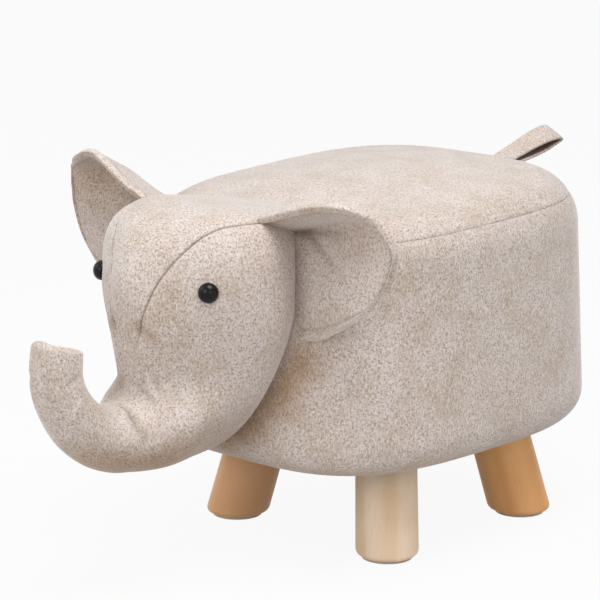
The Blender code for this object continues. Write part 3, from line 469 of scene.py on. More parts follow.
def outline_reach(c, s, power):
    """How far out a rounded outline lies towards this cosine and sine. A power of 2 is a circle."""
    return (np.abs(c) ** power + np.abs(s) ** power) ** (-1 / power)


def sheet_mesh(name, columns, rows, shape):
    """A grid laid over a shape, which takes the shares across and along and gives places and marks."""
    bm = bmesh.new()
    bmesh.ops.create_grid(bm, x_segments=columns, y_segments=rows, size=0.5)
    flat = np.array([v.co for v in bm.verts])
    places, marks = shape(flat[:, 0] + 0.5, flat[:, 1] + 0.5)
    layers = {key: bm.verts.layers.float.new(key) for key in marks}
    for i, vert in enumerate(bm.verts):
        vert.co = places[i]
        for key, values in marks.items():
            vert[layers[key]] = float(values[i])
    bmesh.ops.remove_doubles(bm, verts=bm.verts[:], dist=0.02 * MM)
    return made_of(bm, name)


def made_of(bm, name, smooth=True):
    """The finished bmesh as a mesh, with its faces turned outwards."""
    bmesh.ops.recalc_face_normals(bm, faces=bm.faces[:])
    mesh = bpy.data.meshes.new(name)
    bm.to_mesh(mesh)
    bm.free()
    if smooth:
        mesh.shade_smooth()
    return mesh


def keep_places(mesh, key, places):
    """Stores a place on each point, for a pattern to read."""
    layer = mesh.attributes.new(key, "FLOAT_VECTOR", "POINT")
    layer.data.foreach_set("vector", np.asarray(places, np.float32).ravel())


def add_piece(name, mesh, finish, body="stool", replaced=()):
    """Puts a finished piece in the scene, in place of its CAD solids, on its body."""
    piece = bpy.data.objects.new(name, mesh)
    bpy.context.scene.collection.objects.link(piece)
    mesh.materials.append(finish)
    if body:
        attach(piece, body)
    if replaced:
        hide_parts(*replaced)
    return piece


def add_cloth(mesh, replaced, body="stool", offset=(0, 0, 0)):
    """Puts a piece of suede cloth in the scene and smooths it. Each point keeps its rest place, moved by the
    offset to another part of the print, so that the print follows the cloth when it bends."""
    finish = bpy.data.materials.get("suede cloth") or suede_cloth()
    piece = add_piece(mesh.name, mesh, finish, body, replaced)
    places = np.array([v.co for v in mesh.vertices], np.float32)
    keep_places(mesh, "cloth_place", places + np.array(offset, np.float32))
    smooth = piece.modifiers.new("soften", "SUBSURF")
    smooth.levels = smooth.render_levels = 1
    return piece


def refinish(node, finish):
    """Gives a CAD solid its own finish."""
    node.data.materials.clear()
    node.data.materials.append(finish)


def drum_outline(angle, half_x, half_y):
    """Points round the drum's rounded square outline, closer together at its corners."""
    c, s = np.cos(angle), np.sin(angle)
    c = np.sign(c) * np.abs(c) ** 0.8
    s = np.sign(s) * np.abs(s) ** 0.8
    reach = outline_reach(c, s, SQUARENESS)
    return reach * c * half_x, reach * s * half_y


def seat_rise(height, y):
    """How far the seat's slope lifts a place or lowers it, which is nothing in the wall's lower part."""
    return RISE * y * np.clip((height - RISE_FROM) / (RIM - RISE_FROM), 0, 1)


def flare_at(height):
    """How much wider the drum is at a height than at its rim."""
    return 1 + FLARE * np.clip((RIM - height) / (RIM - UNDERSIDE), 0, 1)


def drum_places(angle, inset, height):
    """Places on the drum this far inside its outline, which widens towards its foot."""
    flare = flare_at(height)
    x, y = drum_outline(angle, HALF_WIDTH * flare - inset, HALF_LENGTH * flare - inset)
    return np.stack((x, y, height + seat_rise(height, y)), axis=-1) + SHIFT


def drum_inset(places, height):
    """How far inside the drum's outline at a height each place is, down to 40 mm outside it."""
    flare = flare_at(height)
    x, y = np.abs(places[:, 0] - SHIFT[0]), np.abs(places[:, 1] - SHIFT[1])
    low, high = np.full_like(x, -0.04), np.full_like(x, HALF_WIDTH - 1e-4)
    # Each turn halves the range that the answer lies in
    for _ in range(26):
        middle = (low + high) / 2
        out = (x / (HALF_WIDTH * flare - middle)) ** SQUARENESS
        out = out + (y / (HALF_LENGTH * flare - middle)) ** SQUARENESS
        low, high = np.where(out < 1, middle, low), np.where(out < 1, high, middle)
    return (low + high) / 2


def crown_height(share):
    """How high the seat stands inside its rim, from its middle at 0 to the rim at 1."""
    return RIM + CROWN * (1 - share**2.4) ** 1.4


def seat_height(places):
    """How high the seat stands at these places, or 0 outside the drum."""
    inset = drum_inset(places, RIM)
    on_rim = RIM - RIM_ROUND + np.sqrt(np.clip(RIM_ROUND**2 - (RIM_ROUND - inset) ** 2, 0, None))
    share = np.clip(1 - (inset - RIM_ROUND) / (HALF_WIDTH - RIM_ROUND), 0, 1)
    height = np.where(inset < RIM_ROUND, on_rim, crown_height(share))
    return np.where(inset > 0, height + seat_rise(height, places[:, 1] - SHIFT[1]), 0)


def puckered(angle, inset, height, turn):
    """The drum's cloth drawn in at the seam and gathered beside it: its inset, height and the painted shade
    in the seam.
    """
    depth = bpy.context.scene.footstool_cloth.seam_depth
    away = np.abs(SEAM_TURN - turn) * RIM_ROUND
    draw = 0.35 * depth * bell(away, 1.3 * MM) + 0.5 * depth * fading(away, 7 * MM)
    # Gathers about 11 mm apart, along a rim that is about 140 mm from the middle
    draw = draw + 0.28 * MM * fading(away, 7 * MM) * waves(angle * 0.14 / 0.0021, 3, 6)
    # Painted shade in the seam's groove, uneven along the rim
    mark = (0.14 + 0.14 * waves(angle * 14, 9, 4)) * bell(away, 0.8 * MM)
    return inset + draw * np.cos(turn), height - draw * np.sin(turn), mark


def wall_profile():
    """The wall from its hem up to the seam: how far inside the outline, how high, and which way it faces."""
    profile = [(FOOT_ROUND + HEM * share, UNDERSIDE, -math.pi / 2) for share in (1, 0.5)]
    for i in range(13):
        turn = -math.pi / 2 * (1 - i / 12)
        height = UNDERSIDE + FOOT_ROUND * (1 + math.sin(turn))
        profile.append((FOOT_ROUND * (1 - math.cos(turn)), height, turn))
    low, high = UNDERSIDE + FOOT_ROUND, RIM - RIM_ROUND
    for i in range(1, 25):
        profile.append((0, low + (high - low) * i / 24, 0))
    reach = SEAM_TURN * RIM_ROUND
    for arc in sorted([reach * i / 8 for i in range(1, 8)] + [reach - away for away in SEAM_STEPS]):
        turn = arc / RIM_ROUND
        profile.append((RIM_ROUND * (1 - math.cos(turn)), high + RIM_ROUND * math.sin(turn), turn))
    return np.array(profile)


def seat_profile():
    """The seat from the seam to its middle: which way its rim faces, and the share of its width inside."""
    arcs = [*SEAM_STEPS, 0.0048, 0.0065]
    span = (math.pi / 2 - SEAM_TURN) * RIM_ROUND
    arcs += [0.0065 + (span - 0.0065) * i / 9 for i in range(1, 10)]
    inside = np.linspace(1, 0, 31)[1:]
    turns = [SEAM_TURN + arc / RIM_ROUND for arc in arcs] + [math.pi / 2] * len(inside)
    return np.array(turns), np.concatenate((np.ones(len(arcs)), inside))


def head_places(station, angle):
    """Places on the head's skin, at a station from 0 at the drum to 1 at the trunk's end and an angle from
    the crown line."""
    row = through(HEAD_STATIONS, station)
    crown = np.stack((0 * station, row[:, 0], row[:, 1]), axis=-1)
    jaw = np.stack((0 * station, row[:, 2], row[:, 3]), axis=-1)
    widest = jaw + (crown - jaw) * row[:, 5:6]
    c, s = np.cos(angle), np.sin(angle)
    reach = outline_reach(c, s, np.where(c > 0, row[:, 6], row[:, 7]))
    end = np.where((c > 0)[:, None], crown, jaw)
    places = widest + (end - widest) * (reach * np.abs(c))[:, None]
    over = places[:, 2] - BRIDGE
    pinch = row[:, 8] * bell(over, np.where(over > 0, BRIDGE_ABOVE, BRIDGE_BELOW))
    places[:, 0] = row[:, 4] * reach * s * (1 - pinch)
    return places


def head_angles(station, column):
    """The angle of each column from the crown line, the seam's own angle, and the section's rough radius."""
    seam = np.radians(through(np.array(SEAM_ANGLES)[:, None], station)[:, 0])
    radius = np.maximum(through(HEAD_STATIONS, station)[:, 4], 12 * MM) * 1.25
    low = np.maximum(seam + BESIDE_SEAM[0] / radius, seam * 0.35)
    high = seam + BESIDE_SEAM[-1] / radius
    fine = seam[:, None] + BESIDE_SEAM / radius[:, None]
    fine = np.where(BESIDE_SEAM < 0, np.maximum(fine, low[:, None]), fine)
    last = len(BESIDE_SEAM) - 1
    place = column - PANEL_COLUMNS
    beside = fine[np.arange(len(station)), np.clip(np.rint(place).astype(int), 0, last)]
    panel = low * column / PANEL_COLUMNS
    side = high + (math.pi - high) * (place - last) / SIDE_COLUMNS
    return np.where(place < 0, panel, np.where(place > last, side, beside)), seam, radius


def head_seams(angle, seam, radius, station):
    """How far the side seam draws the skin in, and how dark the painted shade in it is."""
    depth = bpy.context.scene.footstool_cloth.seam_depth
    away = np.abs(angle - seam) * radius
    # The seam ends between stations 7.7 and 8.4, at the bridge, where a soft fold takes over for a little way
    sewn = 1 - ease(station, 7.7, 8.4)
    draw = depth * bell(away, 1.1 * MM) + 0.6 * depth * fading(away, 5 * MM)
    gather = 0.3 * MM * fading(away, 6 * MM) * waves(station * 9, 5, 6)
    fold = 1.4 * MM * bell(away, 5 * MM) * ease(station, 7.2, 8.0) * (1 - ease(station, 8.2, 9.0))
    return (draw + gather) * sewn + fold, bell(away, 0.6 * MM) * sewn * 0.75


def head_shape(across, along):
    """The head's skin, with its seams, creases and tuck, and the painted shade that darkens and browns it."""
    turn = np.where(across < 0.5, -1.0, 1.0)
    angle, seam, radius = head_angles(along, np.rint(np.abs(across * 2 - 1) * HALF_COLUMNS))
    degrees, station = np.degrees(angle), along * HEAD_SPANS
    places = head_places(along, angle)
    places[:, 0] *= turn
    round_it = change_of(lambda value: head_places(along, value), angle, -math.inf, math.inf)
    normal = unit(np.cross(round_it, change_of(lambda value: head_places(value, angle), along)))
    normal[:, 0] *= turn
    if np.mean(np.sum(normal * (places - np.mean(places, axis=0)), axis=1)) < 0:
        normal = -normal
    draw, line = head_seams(angle, seam, radius, station)
    mirrored = near_side(places)
    # Each crease draws the skin in and holds painted shade
    for route, deep, wide, dark in HEAD_CREASES:
        near = bell(away_from(mirrored, route), wide * MM)
        draw = draw + deep * MM * near
        line = np.maximum(line, dark * near**2)
    places = places + SHIFT
    # The forehead panel and the seat are one cloth, so the crown runs smoothly on to the seat
    top = (1 - ease(degrees, 38, 62)) * (1 - ease(station, 2.2, 3.4))
    # Below that the head is drawn in where it is sewn to the drum
    outside = -drum_inset(places, places[:, 2])
    tuck = 6 * MM * fading(np.clip(outside, 0, 1), 8 * MM) * (1 - top) * ease(degrees, 30, 60)
    places = places - normal * (draw + tuck)[:, None]
    # Painted shade along the join with the drum
    line = np.maximum(line, 0.5 * bell(outside - 1 * MM, 1.5 * MM) * (1 - top))
    places = on_seat(places, top, station)
    # Painted shade browns the cloth under the jaw and in its folds
    warm = 0.9 * (1 - ease(places[:, 2], 0.095, 0.146)) * ease(degrees, 70, 120)
    for route, wide, much in HEAD_PAINTED_SHADES:
        warm = np.maximum(warm, much * bell(away_from(mirrored, route), wide * MM))
    return places, {"seam": line, "warm": warm}


def on_seat(places, top, station):
    """Lifts the crown to the seat where it would dip under it, with a soft turn 6 mm wide."""
    under = seat_height(places) + 0.1 * MM - 1.6 * MM * (1 - ease(station, 0.0, 0.35))
    above = places[:, 2] - under
    soft = np.sqrt(above**2 + (6 * MM) ** 2)
    sunk = 0.5 * (soft - np.abs(above)) * ease(-above, -8 * MM, 8 * MM)
    merged = places[:, 2] * (1 - top) + (under + 0.5 * (above + soft) - sunk) * top
    return np.column_stack((places[:, :2], np.where(under > 0.1, merged, places[:, 2])))


def close_trunk(bm):
    """The trunk's end: a rolled lip that stands up in front, dips at the sides, and is pushed in."""
    loop = [e for e in bm.edges if e.is_boundary and e.verts[0].co.y < -0.2]
    verts = {v for e in loop for v in e.verts}
    middle = sum((v.co for v in verts), Vector()) / len(verts)
    front = min(verts, key=lambda v: v.co.y).co - middle
    out = front.cross(Vector((1, 0, 0))).normalized()
    out = out if out.z > 0 else -out
    toward = front.normalized()
    before = 1
    for share, sink, lip in TRUNK_END:
        drawn = bmesh.ops.extrude_edge_only(bm, edges=loop)["geom"]
        loop = [e for e in drawn if isinstance(e, bmesh.types.BMEdge) and e.is_boundary]
        for v in (v for v in drawn if isinstance(v, bmesh.types.BMVert)):
            reach = v.co - middle
            reach -= out * reach.dot(out)
            facing = reach.normalized().dot(toward)
            # In mm: the lip stands up 3.4 in front and dips 1.4 at the sides and 1.2 at the back
            rise = 3.4 * max(facing, 0) ** 5 - 1.4 * (1 - facing**2) - 1.2 * max(-facing, 0) ** 2
            v.co = middle + reach * (share / before) + out * (MM * (rise * lip - sink))
        before = share
    bmesh.ops.contextual_create(bm, geom=loop)


def ear_middle(tops, across, down):
    """The layer half way through an ear: a patch between its four edges, hollowed by the ear's cup."""
    outer_rows = (tops[-1], *EAR_OUTER)
    root, outer = through(EAR_ROOT, down), through(outer_rows, down)
    top, lower = through(tops, across), through(EAR_LOWER, across)
    fall = np.stack((down, down**0.5, down**1.5), axis=-1)
    share = across[:, None]
    upper = (1 - share) * np.array(EAR_ROOT[0]) + share * np.array(outer_rows[0])
    under = (1 - share) * np.array(EAR_ROOT[-1]) + share * np.array(outer_rows[-1])
    shares = (1 - share) * root + share * outer + (1 - fall) * (top - upper) + fall * (lower - under)
    fold = np.interp(across, EAR_FOLD_ACROSS, EAR_FOLD_DOWN)
    roof = np.clip(down / fold, 0, None)
    rest = np.clip((1 - down) / (1 - fold), 0, 1.2) ** 2.4
    # The ear deepens down its roof to the fold and comes forward again below it, with a soft turn between
    hollow = 0.5 * (roof + rest - np.sqrt((roof - rest) ** 2 + 0.006)) + 0.03
    cup = np.clip(hollow, 0, 1) * np.sin(math.pi * across**0.6)
    x = EAR_ROOT_X + shares[:, 0] * EAR_WIDTH
    y = FACE_ROOT - shares[:, 1] * EAR_FORWARD + bpy.context.scene.footstool_parts.ear_cup * cup
    return np.stack((x, y, EAR_FOOT + shares[:, 2] * EAR_HEIGHT), axis=-1)


def crowded(share):
    """The same share, with rows closer to an edge at 1, where the rim turns."""
    return 1 - (1 - share) ** 1.5


def ear_layer(name, side, front, across, along):
    """An ear's front or back cloth, with its rolled edge, seam and folds. They meet at the ear's edges."""
    half = bpy.context.scene.footstool_parts.ear_thickness / 2
    tops = EAR_TOPS[name]
    u = crowded(across)
    t = along * 2 - 1
    v = 0.5 + 0.5 * np.sign(t) * crowded(np.abs(t))
    places = ear_middle(tops, u, v)
    across_it = change_of(lambda value: ear_middle(tops, value, v), u)
    normal = unit(np.cross(across_it, change_of(lambda value: ear_middle(tops, u, value), v)))
    if np.mean(normal[:, 1]) > 0:
        normal = -normal
    # How far each point is from the outer edge and from the upper or lower one, and from the nearest of them
    high = EAR_HEIGHT * 0.8
    far, near = (1 - u) * EAR_WIDTH + 1e-9, np.minimum(v, 1 - v) * high + 1e-9
    rim_away = (far**-4 + near**-4) ** -0.25
    turned = np.sqrt(np.clip(1 - (1 - np.clip(rim_away / half, 0, 1)) ** 2, 0, 1))
    root_away = np.clip(u * EAR_WIDTH / half, 0, 1)
    offset = (half * turned + 0.9 * MM * ease(rim_away, 6 * MM, 20 * MM)) * np.sqrt(root_away)
    # The rolled edge stands out, the seam lies inside it and gathers it every 5 mm or so
    roll = 1.0 * MM * bell(rim_away - 2.4 * MM, 1.4 * MM)
    groove = 1.0 * MM * bell(rim_away - 5.0 * MM, 1.0 * MM)
    run = np.where(far < near, v * high, u * EAR_WIDTH)
    gather = waves(run / (0.85 * MM), 21 + side, 5) * fading(np.abs(rim_away - 4 * MM), 2.5 * MM)
    # The rolled edge runs out towards the ear's tip, where the two edges meet
    along_edge = ease(np.maximum(far, near), 3 * MM, 15 * MM)
    offset = offset + (roll - groove + 0.15 * MM * gather) * turned * along_edge
    places = places + normal * (offset * (1 if front else -1))[:, None]
    shade = 0 * u
    for route, deep, wide, dark in EAR_FOLDS:
        away = away_from(places[:, (0, 2)], route)
        reach = (places[:, 0] - route[0][0]) / (route[-1][0] - route[0][0])
        fade = (1 - np.clip(reach, 0, 1)) * turned * ease(rim_away, 2 * MM, 12 * MM)
        places[:, 1] += deep * MM * fade * np.clip(1 - away / (wide * MM), 0, 1) ** 1.4
        # Painted shade along the fold, on the front cloth
        if front:
            shade = np.maximum(shade, dark * fade * bell(away, 3.0 * MM))
    # Painted shade in the seam's groove
    seam = 0.28 * bell(rim_away - 5.0 * MM, 0.7 * MM) * turned
    # Warm painted shade high on the front, under the roof
    warm = EAR_PAINTED_SHADE[name] * ease(places[:, 2], 0.215, 0.275) * front
    return places * (side, 1, 1) + SHIFT, {"seam": np.maximum(seam, shade), "warm": warm}


def tail_spine(along):
    """The strap's middle, out along the upper ply and back along the lower one, and how far it rolls over."""
    lower = along > 0.5
    share = np.where(lower, 2 - 2 * along, 2 * along)
    bulge = np.sin(math.pi * np.clip(share, 0, 1) ** 2.6) ** 0.8
    fold = ease(share, 0.93, 1.0)
    spread = (TAIL_OPEN * bulge + TAIL_PLY / 2) * np.sqrt(np.clip(1 - fold**2, 0, 1)) * np.where(lower, -1, 1)
    roll = TAIL_ROLL * share**2.2
    y = TAIL_Y + share * TAIL_LENGTH + TAIL_PLY * fold
    up = np.stack((np.sin(roll), 0 * roll, np.cos(roll)), axis=-1)
    middle = np.stack((0 * y, y, TAIL_Z + TAIL_RISE * share**1.2), axis=-1)
    return middle + up * spread[:, None], roll


def tail_shape(across, along):
    """The strap's flat section along its spine, with a stitch line near both edges and its brown back."""
    centre, roll = tail_spine(along)
    tangent = unit(change_of(lambda value: tail_spine(value)[0], along))
    side = np.stack((np.cos(roll), 0 * roll, -np.sin(roll)), axis=-1)
    c, s = np.cos(across * 2 * math.pi), np.sin(across * 2 * math.pi)
    reach = outline_reach(c, s, 5)
    places = centre + side * (reach * c * TAIL_WIDTH / 2)[:, None]
    places = places + np.cross(side, tangent) * (reach * s * TAIL_PLY / 2)[:, None]
    in_from_edge = TAIL_WIDTH / 2 - np.abs(c) * reach * TAIL_WIDTH / 2
    # Painted shade along a stitch line 2.2 mm in from each edge
    stitch = bell(in_from_edge - 2.2 * MM, 0.4 * MM)
    return places + SHIFT, {"seam": 0.35 * stitch, "lining": ease(-s * reach, 0.75, 0.95)}


# Materials


def feed(tree, socket, value):
    """Links a socket to another node's output, or sets it to a plain value. A colour has three numbers."""
    if isinstance(value, bpy.types.NodeSocket):
        tree.links.new(value, socket)
    else:
        socket.default_value = (*value, 1) if socket.type == "RGBA" else value


def add_node(tree, kind, feeds=(), output=0, stops=(), **settings):
    """Adds a node and gives one of its outputs. A setting sets the property or feeds the socket of its name,
    feeds do so by a socket's number, and stops are the places and greys of a colour ramp."""
    node = tree.nodes.new(kind)
    for key, value in settings.items():
        if hasattr(node, key):
            setattr(node, key, value)
        else:
            feed(tree, node.inputs[key.replace("_", " ")], value)
    for number, value in feeds:
        feed(tree, node.inputs[number], value)
    for i, (place, grey) in enumerate(stops):
        node.color_ramp.elements[i].position = place
        node.color_ramp.elements[i].color = (grey, grey, grey, 1)
    return node.outputs[output]


def new_material(name, **settings):
    """A material with its node tree and its shader, whose sockets take the settings."""
    finish = bpy.data.materials.new(name)
    finish.use_nodes = True
    tree = finish.node_tree
    shader = tree.nodes["Principled BSDF"]
    for key, value in settings.items():
        feed(tree, shader.inputs[key.replace("_", " ")], value)
    return finish, tree, shader


def tinted(tree, ground, tint, share, stops=(), blend="MIX"):
    """A tint laid over a ground colour by a share, which stops can make from a pattern."""
    if stops:
        share = add_node(tree, "ShaderNodeValToRGB", Fac=share, stops=stops)
    feeds = ((0, share), (6, ground), (7, tint))
    return add_node(tree, "ShaderNodeMix", feeds, 2, data_type="RGBA", blend_type=blend)


def suede_cloth():
    """Suede-faced polyester upholstery cloth, napped, with a printed crackle of fine specks: matt, mottled
    and soft edged. It carries painted shade, browner under the jaw and head and at the foot and darker in its
    seams and creases, and its back is a knitted lining."""
    look = bpy.context.scene.footstool_cloth
    finish, tree, shader = new_material(
        "suede cloth", Roughness=0.92, Specular_IOR_Level=0.25, Sheen_Weight=0.6, Sheen_Roughness=0.4
    )
    noise = "ShaderNodeTexNoise"
    place = add_node(tree, "ShaderNodeAttribute", output="Vector", attribute_name="cloth_place")
    speck = add_node(tree, noise, Vector=place, Scale=1 / look.speck_size, Detail=2, Roughness=0.6)
    # Pale strokes that cross one another, twice as long as they are wide
    strokes = []
    for turn in ((0.6, 0.8, 0.5), (-0.7, 0.5, -0.6)):
        stretched = add_node(tree, "ShaderNodeMapping", Vector=place, Rotation=turn, Scale=(1, 1, 0.45))
        strokes.append(add_node(tree, noise, Vector=stretched, Scale=1.1 / look.speck_size, Detail=1))
    pale_stroke = add_node(tree, "ShaderNodeMath", enumerate(strokes), operation="MAXIMUM")
    patch = add_node(tree, noise, Vector=place, Scale=1 / look.patch_size, Detail=3, Roughness=0.6)
    elsewhere = add_node(tree, "ShaderNodeMapping", Vector=place, Location=(3, 5, 7))
    blush = add_node(tree, noise, Vector=elsewhere, Scale=0.7 / look.patch_size, Detail=2)
    colour = tinted(tree, look.pale, look.tan, patch, ((0.40, 0), (0.66, 1)))
    colour = tinted(tree, colour, look.blush, blush, ((0.45, 0), (0.7, 0.5)))
    colour = tinted(tree, colour, look.speck, speck, ((0.46, 0), (0.64, 1)))
    colour = tinted(tree, colour, look.stroke, pale_stroke, ((0.55, 0), (0.70, 0.6)))
    # Painted shade: a warm brown multiplied in under the jaw, head and ear roofs and at the foot, and a dark
    # shade in seams, creases, folds and stitches. The lining is the cloth's own knitted back
    for mark, tint, blend in (
        ("warm", look.warm, "MULTIPLY"), ("seam", look.painted_groove_shade, "MIX"), ("lining", look.lining, "MIX")
    ):
        share = add_node(tree, "ShaderNodeAttribute", output="Fac", attribute_name=mark)
        colour = tinted(tree, colour, tint, share, blend=blend)
    feed(tree, shader.inputs["Base Color"], colour)
    # The print stands proud a little, and the nap is drawn 0.7 mm wide, as coarse as it needs to show
    nap = add_node(tree, noise, Vector=place, Scale=1 / (0.7 * MM), Detail=2, Roughness=0.6)
    both = add_node(tree, "ShaderNodeMath", ((0, pale_stroke), (1, speck)), operation="SUBTRACT")
    relief = add_node(tree, "ShaderNodeMath", ((0, both), (1, nap)), operation="ADD")
    bump = add_node(tree, "ShaderNodeBump", Height=relief, Strength=0.35, Distance=0.25 * MM)
    feed(tree, shader.inputs["Normal"], bump)
    return finish


def turned_wood():
    """Turned beech under clear matt lacquer: pale, with fine darker lines along the leg and a few flecks."""
    look = bpy.context.scene.footstool_parts
    finish, tree, shader = new_material("turned beech", Roughness=0.5, Specular_IOR_Level=0.35)
    noise = "ShaderNodeTexNoise"
    place = add_node(tree, "ShaderNodeAttribute", output="Vector", attribute_name="grain_place")
    # Growth rings 12 mm apart, which is pi / 10 over the wave's scale, drawn out 14 times along the leg
    drawn = add_node(tree, "ShaderNodeMapping", Vector=place, Scale=(1, 1, 0.07))
    rings = add_node(
        tree,
        "ShaderNodeTexWave",
        output="Fac",
        wave_type="RINGS",
        rings_direction="Z",
        Vector=drawn,
        Scale=26,
        Distortion=3.2,
        Detail=3,
        Detail_Scale=1.6,
    )
    fibre = add_node(tree, noise, Vector=drawn, Scale=1 / (0.9 * MM), Detail=3, Roughness=0.6)
    cloud = add_node(tree, noise, Vector=place, Scale=1 / (30 * MM), Detail=2)
    knots = add_node(tree, "ShaderNodeTexVoronoi", output="Distance", Vector=place, Scale=1 / (46 * MM))
    tint = add_node(tree, "ShaderNodeAttribute", output="Color", attribute_name="tint")
    colour = tinted(tree, look.wood, look.wood_dark, rings, ((0.25, 0), (0.95, 0.5)))
    colour = tinted(tree, colour, look.wood_dark, fibre, ((0.52, 0), (0.72, 0.45)))
    colour = tinted(tree, colour, srgb("#E2B88C"), cloud, ((0.4, 0), (0.75, 0.25)))
    colour = tinted(tree, colour, tint, 1.0, blend="MULTIPLY")
    colour = tinted(tree, colour, srgb("#9A6F4C"), knots, ((0.02, 0.55), (0.10, 0)))
    feed(tree, shader.inputs["Base Color"], colour)
    bump = add_node(tree, "ShaderNodeBump", Height=fibre, Strength=0.25, Distance=0.15 * MM)
    feed(tree, shader.inputs["Normal"], bump)
    return finish


def plain_finish(name, pale, dark, size, roughness, metallic=0.0, depth=0.05):
    """A finish of two close colours in a grain of one real size, for the pieces that need no more."""
    finish, tree, shader = new_material(name, Roughness=roughness, Metallic=metallic)
    place = add_node(tree, "ShaderNodeTexCoord", output="Object")
    grain = add_node(tree, "ShaderNodeTexNoise", Vector=place, Scale=1 / size, Detail=4, Roughness=0.6)
    colour = tinted(tree, srgb(pale), srgb(dark), grain, ((0.35, 0), (0.65, 1)))
    feed(tree, shader.inputs["Base Color"], colour)
    bump = add_node(tree, "ShaderNodeBump", Height=grain, Strength=0.4, Distance=depth * MM)
    feed(tree, shader.inputs["Normal"], bump)
    return finish


def polished_black():
    """Moulded black plastic polished to a deep gloss, with the faintest haze from handling."""
    finish, tree, shader = new_material(
        "polished black plastic", Base_Color=srgb("#0E0C0C"), IOR=1.49, Specular_IOR_Level=0.22
    )
    place = add_node(tree, "ShaderNodeTexCoord", output="Object")
    haze = add_node(tree, "ShaderNodeTexNoise", Vector=place, Scale=1 / (3 * MM), Detail=2)
    roughness = add_node(tree, "ShaderNodeValToRGB", Fac=haze, stops=((0.3, 0.04), (0.8, 0.1)))
    feed(tree, shader.inputs["Roughness"], roughness)
    return finish


def seen_directly(tree):
    """1 for what the camera sees, also in gloss and glass, and 0 for light on its way to the object."""
    path = add_node(tree, "ShaderNodeLightPath").node.outputs
    seen = path["Is Camera Ray"]
    for ray in ("Is Glossy Ray", "Is Transmission Ray"):
        seen = add_node(tree, "ShaderNodeMath", ((0, seen), (1, path[ray])), operation="MAXIMUM")
    return seen


def white_paper():
    """White seamless studio paper: matt, and bright enough to melt into the background round the shadow."""
    finish, tree, shader = new_material("white studio floor")
    tree.nodes.remove(shader)
    paper = add_node(tree, "ShaderNodeBsdfDiffuse", Color=(FLOOR_GREY, FLOOR_GREY, FLOOR_GREY))
    glow = add_node(tree, "ShaderNodeEmission", Strength=1.0)
    feeds = ((0, seen_directly(tree)), (1, FLOOR_GLOW))
    share = add_node(tree, "ShaderNodeMath", feeds, operation="MULTIPLY")
    mixed = add_node(tree, "ShaderNodeMixShader", ((0, share), (1, paper), (2, glow)))
    feed(tree, tree.nodes["Material Output"].inputs["Surface"], mixed)
    return finish


# Pieces


class FOOTSTOOL_OT_drum(bpy.types.Operator):
    """Wall and seat of the padded drum, sewn together round the rim"""

    bl_idname = "footstool.drum"
    bl_label = "Drum"

    def execute(self, context):
        profile = wall_profile()
        wall_rows = len(profile) - 1

        def wall(across, along):
            angle = across * 2 * math.pi
            inset, height, turn = profile[np.rint(along * wall_rows).astype(int)].T
            inset, height, seam = puckered(angle, inset, height, turn)
            places = drum_places(angle, inset, height)
            # Soft upright folds, up to half a millimetre deep, that run out half way up the wall
            fold = waves(angle * 5, 11, 4) * 0.5 * MM * ease(height, 0.2, 0.1)
            places[:, 0] += np.cos(angle) * fold
            places[:, 1] += np.sin(angle) * fold
            # Painted shade at the foot, browned like the light that the floor and legs throw back, and a
            # painted shadow under the head
            foot = 0.95 * (1 - ease(height, UNDERSIDE - 1 * MM, UNDERSIDE + 16 * MM))
            shade = 0.80 * bell(away_from(near_side(places - SHIFT), DRUM_PAINTED_SHADOW), 17 * MM)
            return places, {"seam": seam, "warm": np.maximum(foot, shade)}

        drum_wall = add_cloth(
            sheet_mesh("drum_wall", DRUM_COLUMNS, wall_rows, wall), ("side_cover", "side_padding")
        )

        turns, shares = seat_profile()
        seat_rows = len(shares) - 1
        rim_rows = np.sum(shares == 1)

        def seat(across, along):
            angle = across * 2 * math.pi
            row = np.rint(along * seat_rows).astype(int)
            share, turn = shares[row], turns[row]
            inset, height = RIM_ROUND * (1 - np.cos(turn)), RIM - RIM_ROUND + RIM_ROUND * np.sin(turn)
            inset, height, seam = puckered(angle, inset, height, turn)
            rim = drum_places(angle, inset, height)
            x, y = drum_outline(angle, HALF_WIDTH - RIM_ROUND, HALF_LENGTH - RIM_ROUND)
            height = crown_height(share)
            crown = np.stack((x * share, y * share, height + seat_rise(height, y * share)), axis=-1) + SHIFT
            return np.where((row < rim_rows)[:, None], rim, crown), {"seam": seam}

        seat_panel = add_cloth(
            sheet_mesh("seat_panel", DRUM_COLUMNS, seat_rows, seat), ("seat_cover", "seat_foam")
        )
        return {"FINISHED"}


class FOOTSTOOL_OT_head(bpy.types.Operator):
    """Stuffed head and trunk: a forehead panel between two sides, sewn and turned"""

    bl_idname = "footstool.head"
    bl_label = "Head and trunk"

    def execute(self, context):
        bm = bmesh.new()
        bm.from_mesh(sheet_mesh("head_sheet", HALF_COLUMNS * 2, HEAD_SPANS * 9, head_shape))
        close_trunk(bm)
        back = [e for e in bm.edges if e.is_boundary]
        bmesh.ops.contextual_create(bm, geom=back)
        head = add_cloth(made_of(bm, "head_skin"), ("head_cover", "head_stuffing", "trunk_stuffing"))
        return {"FINISHED"}


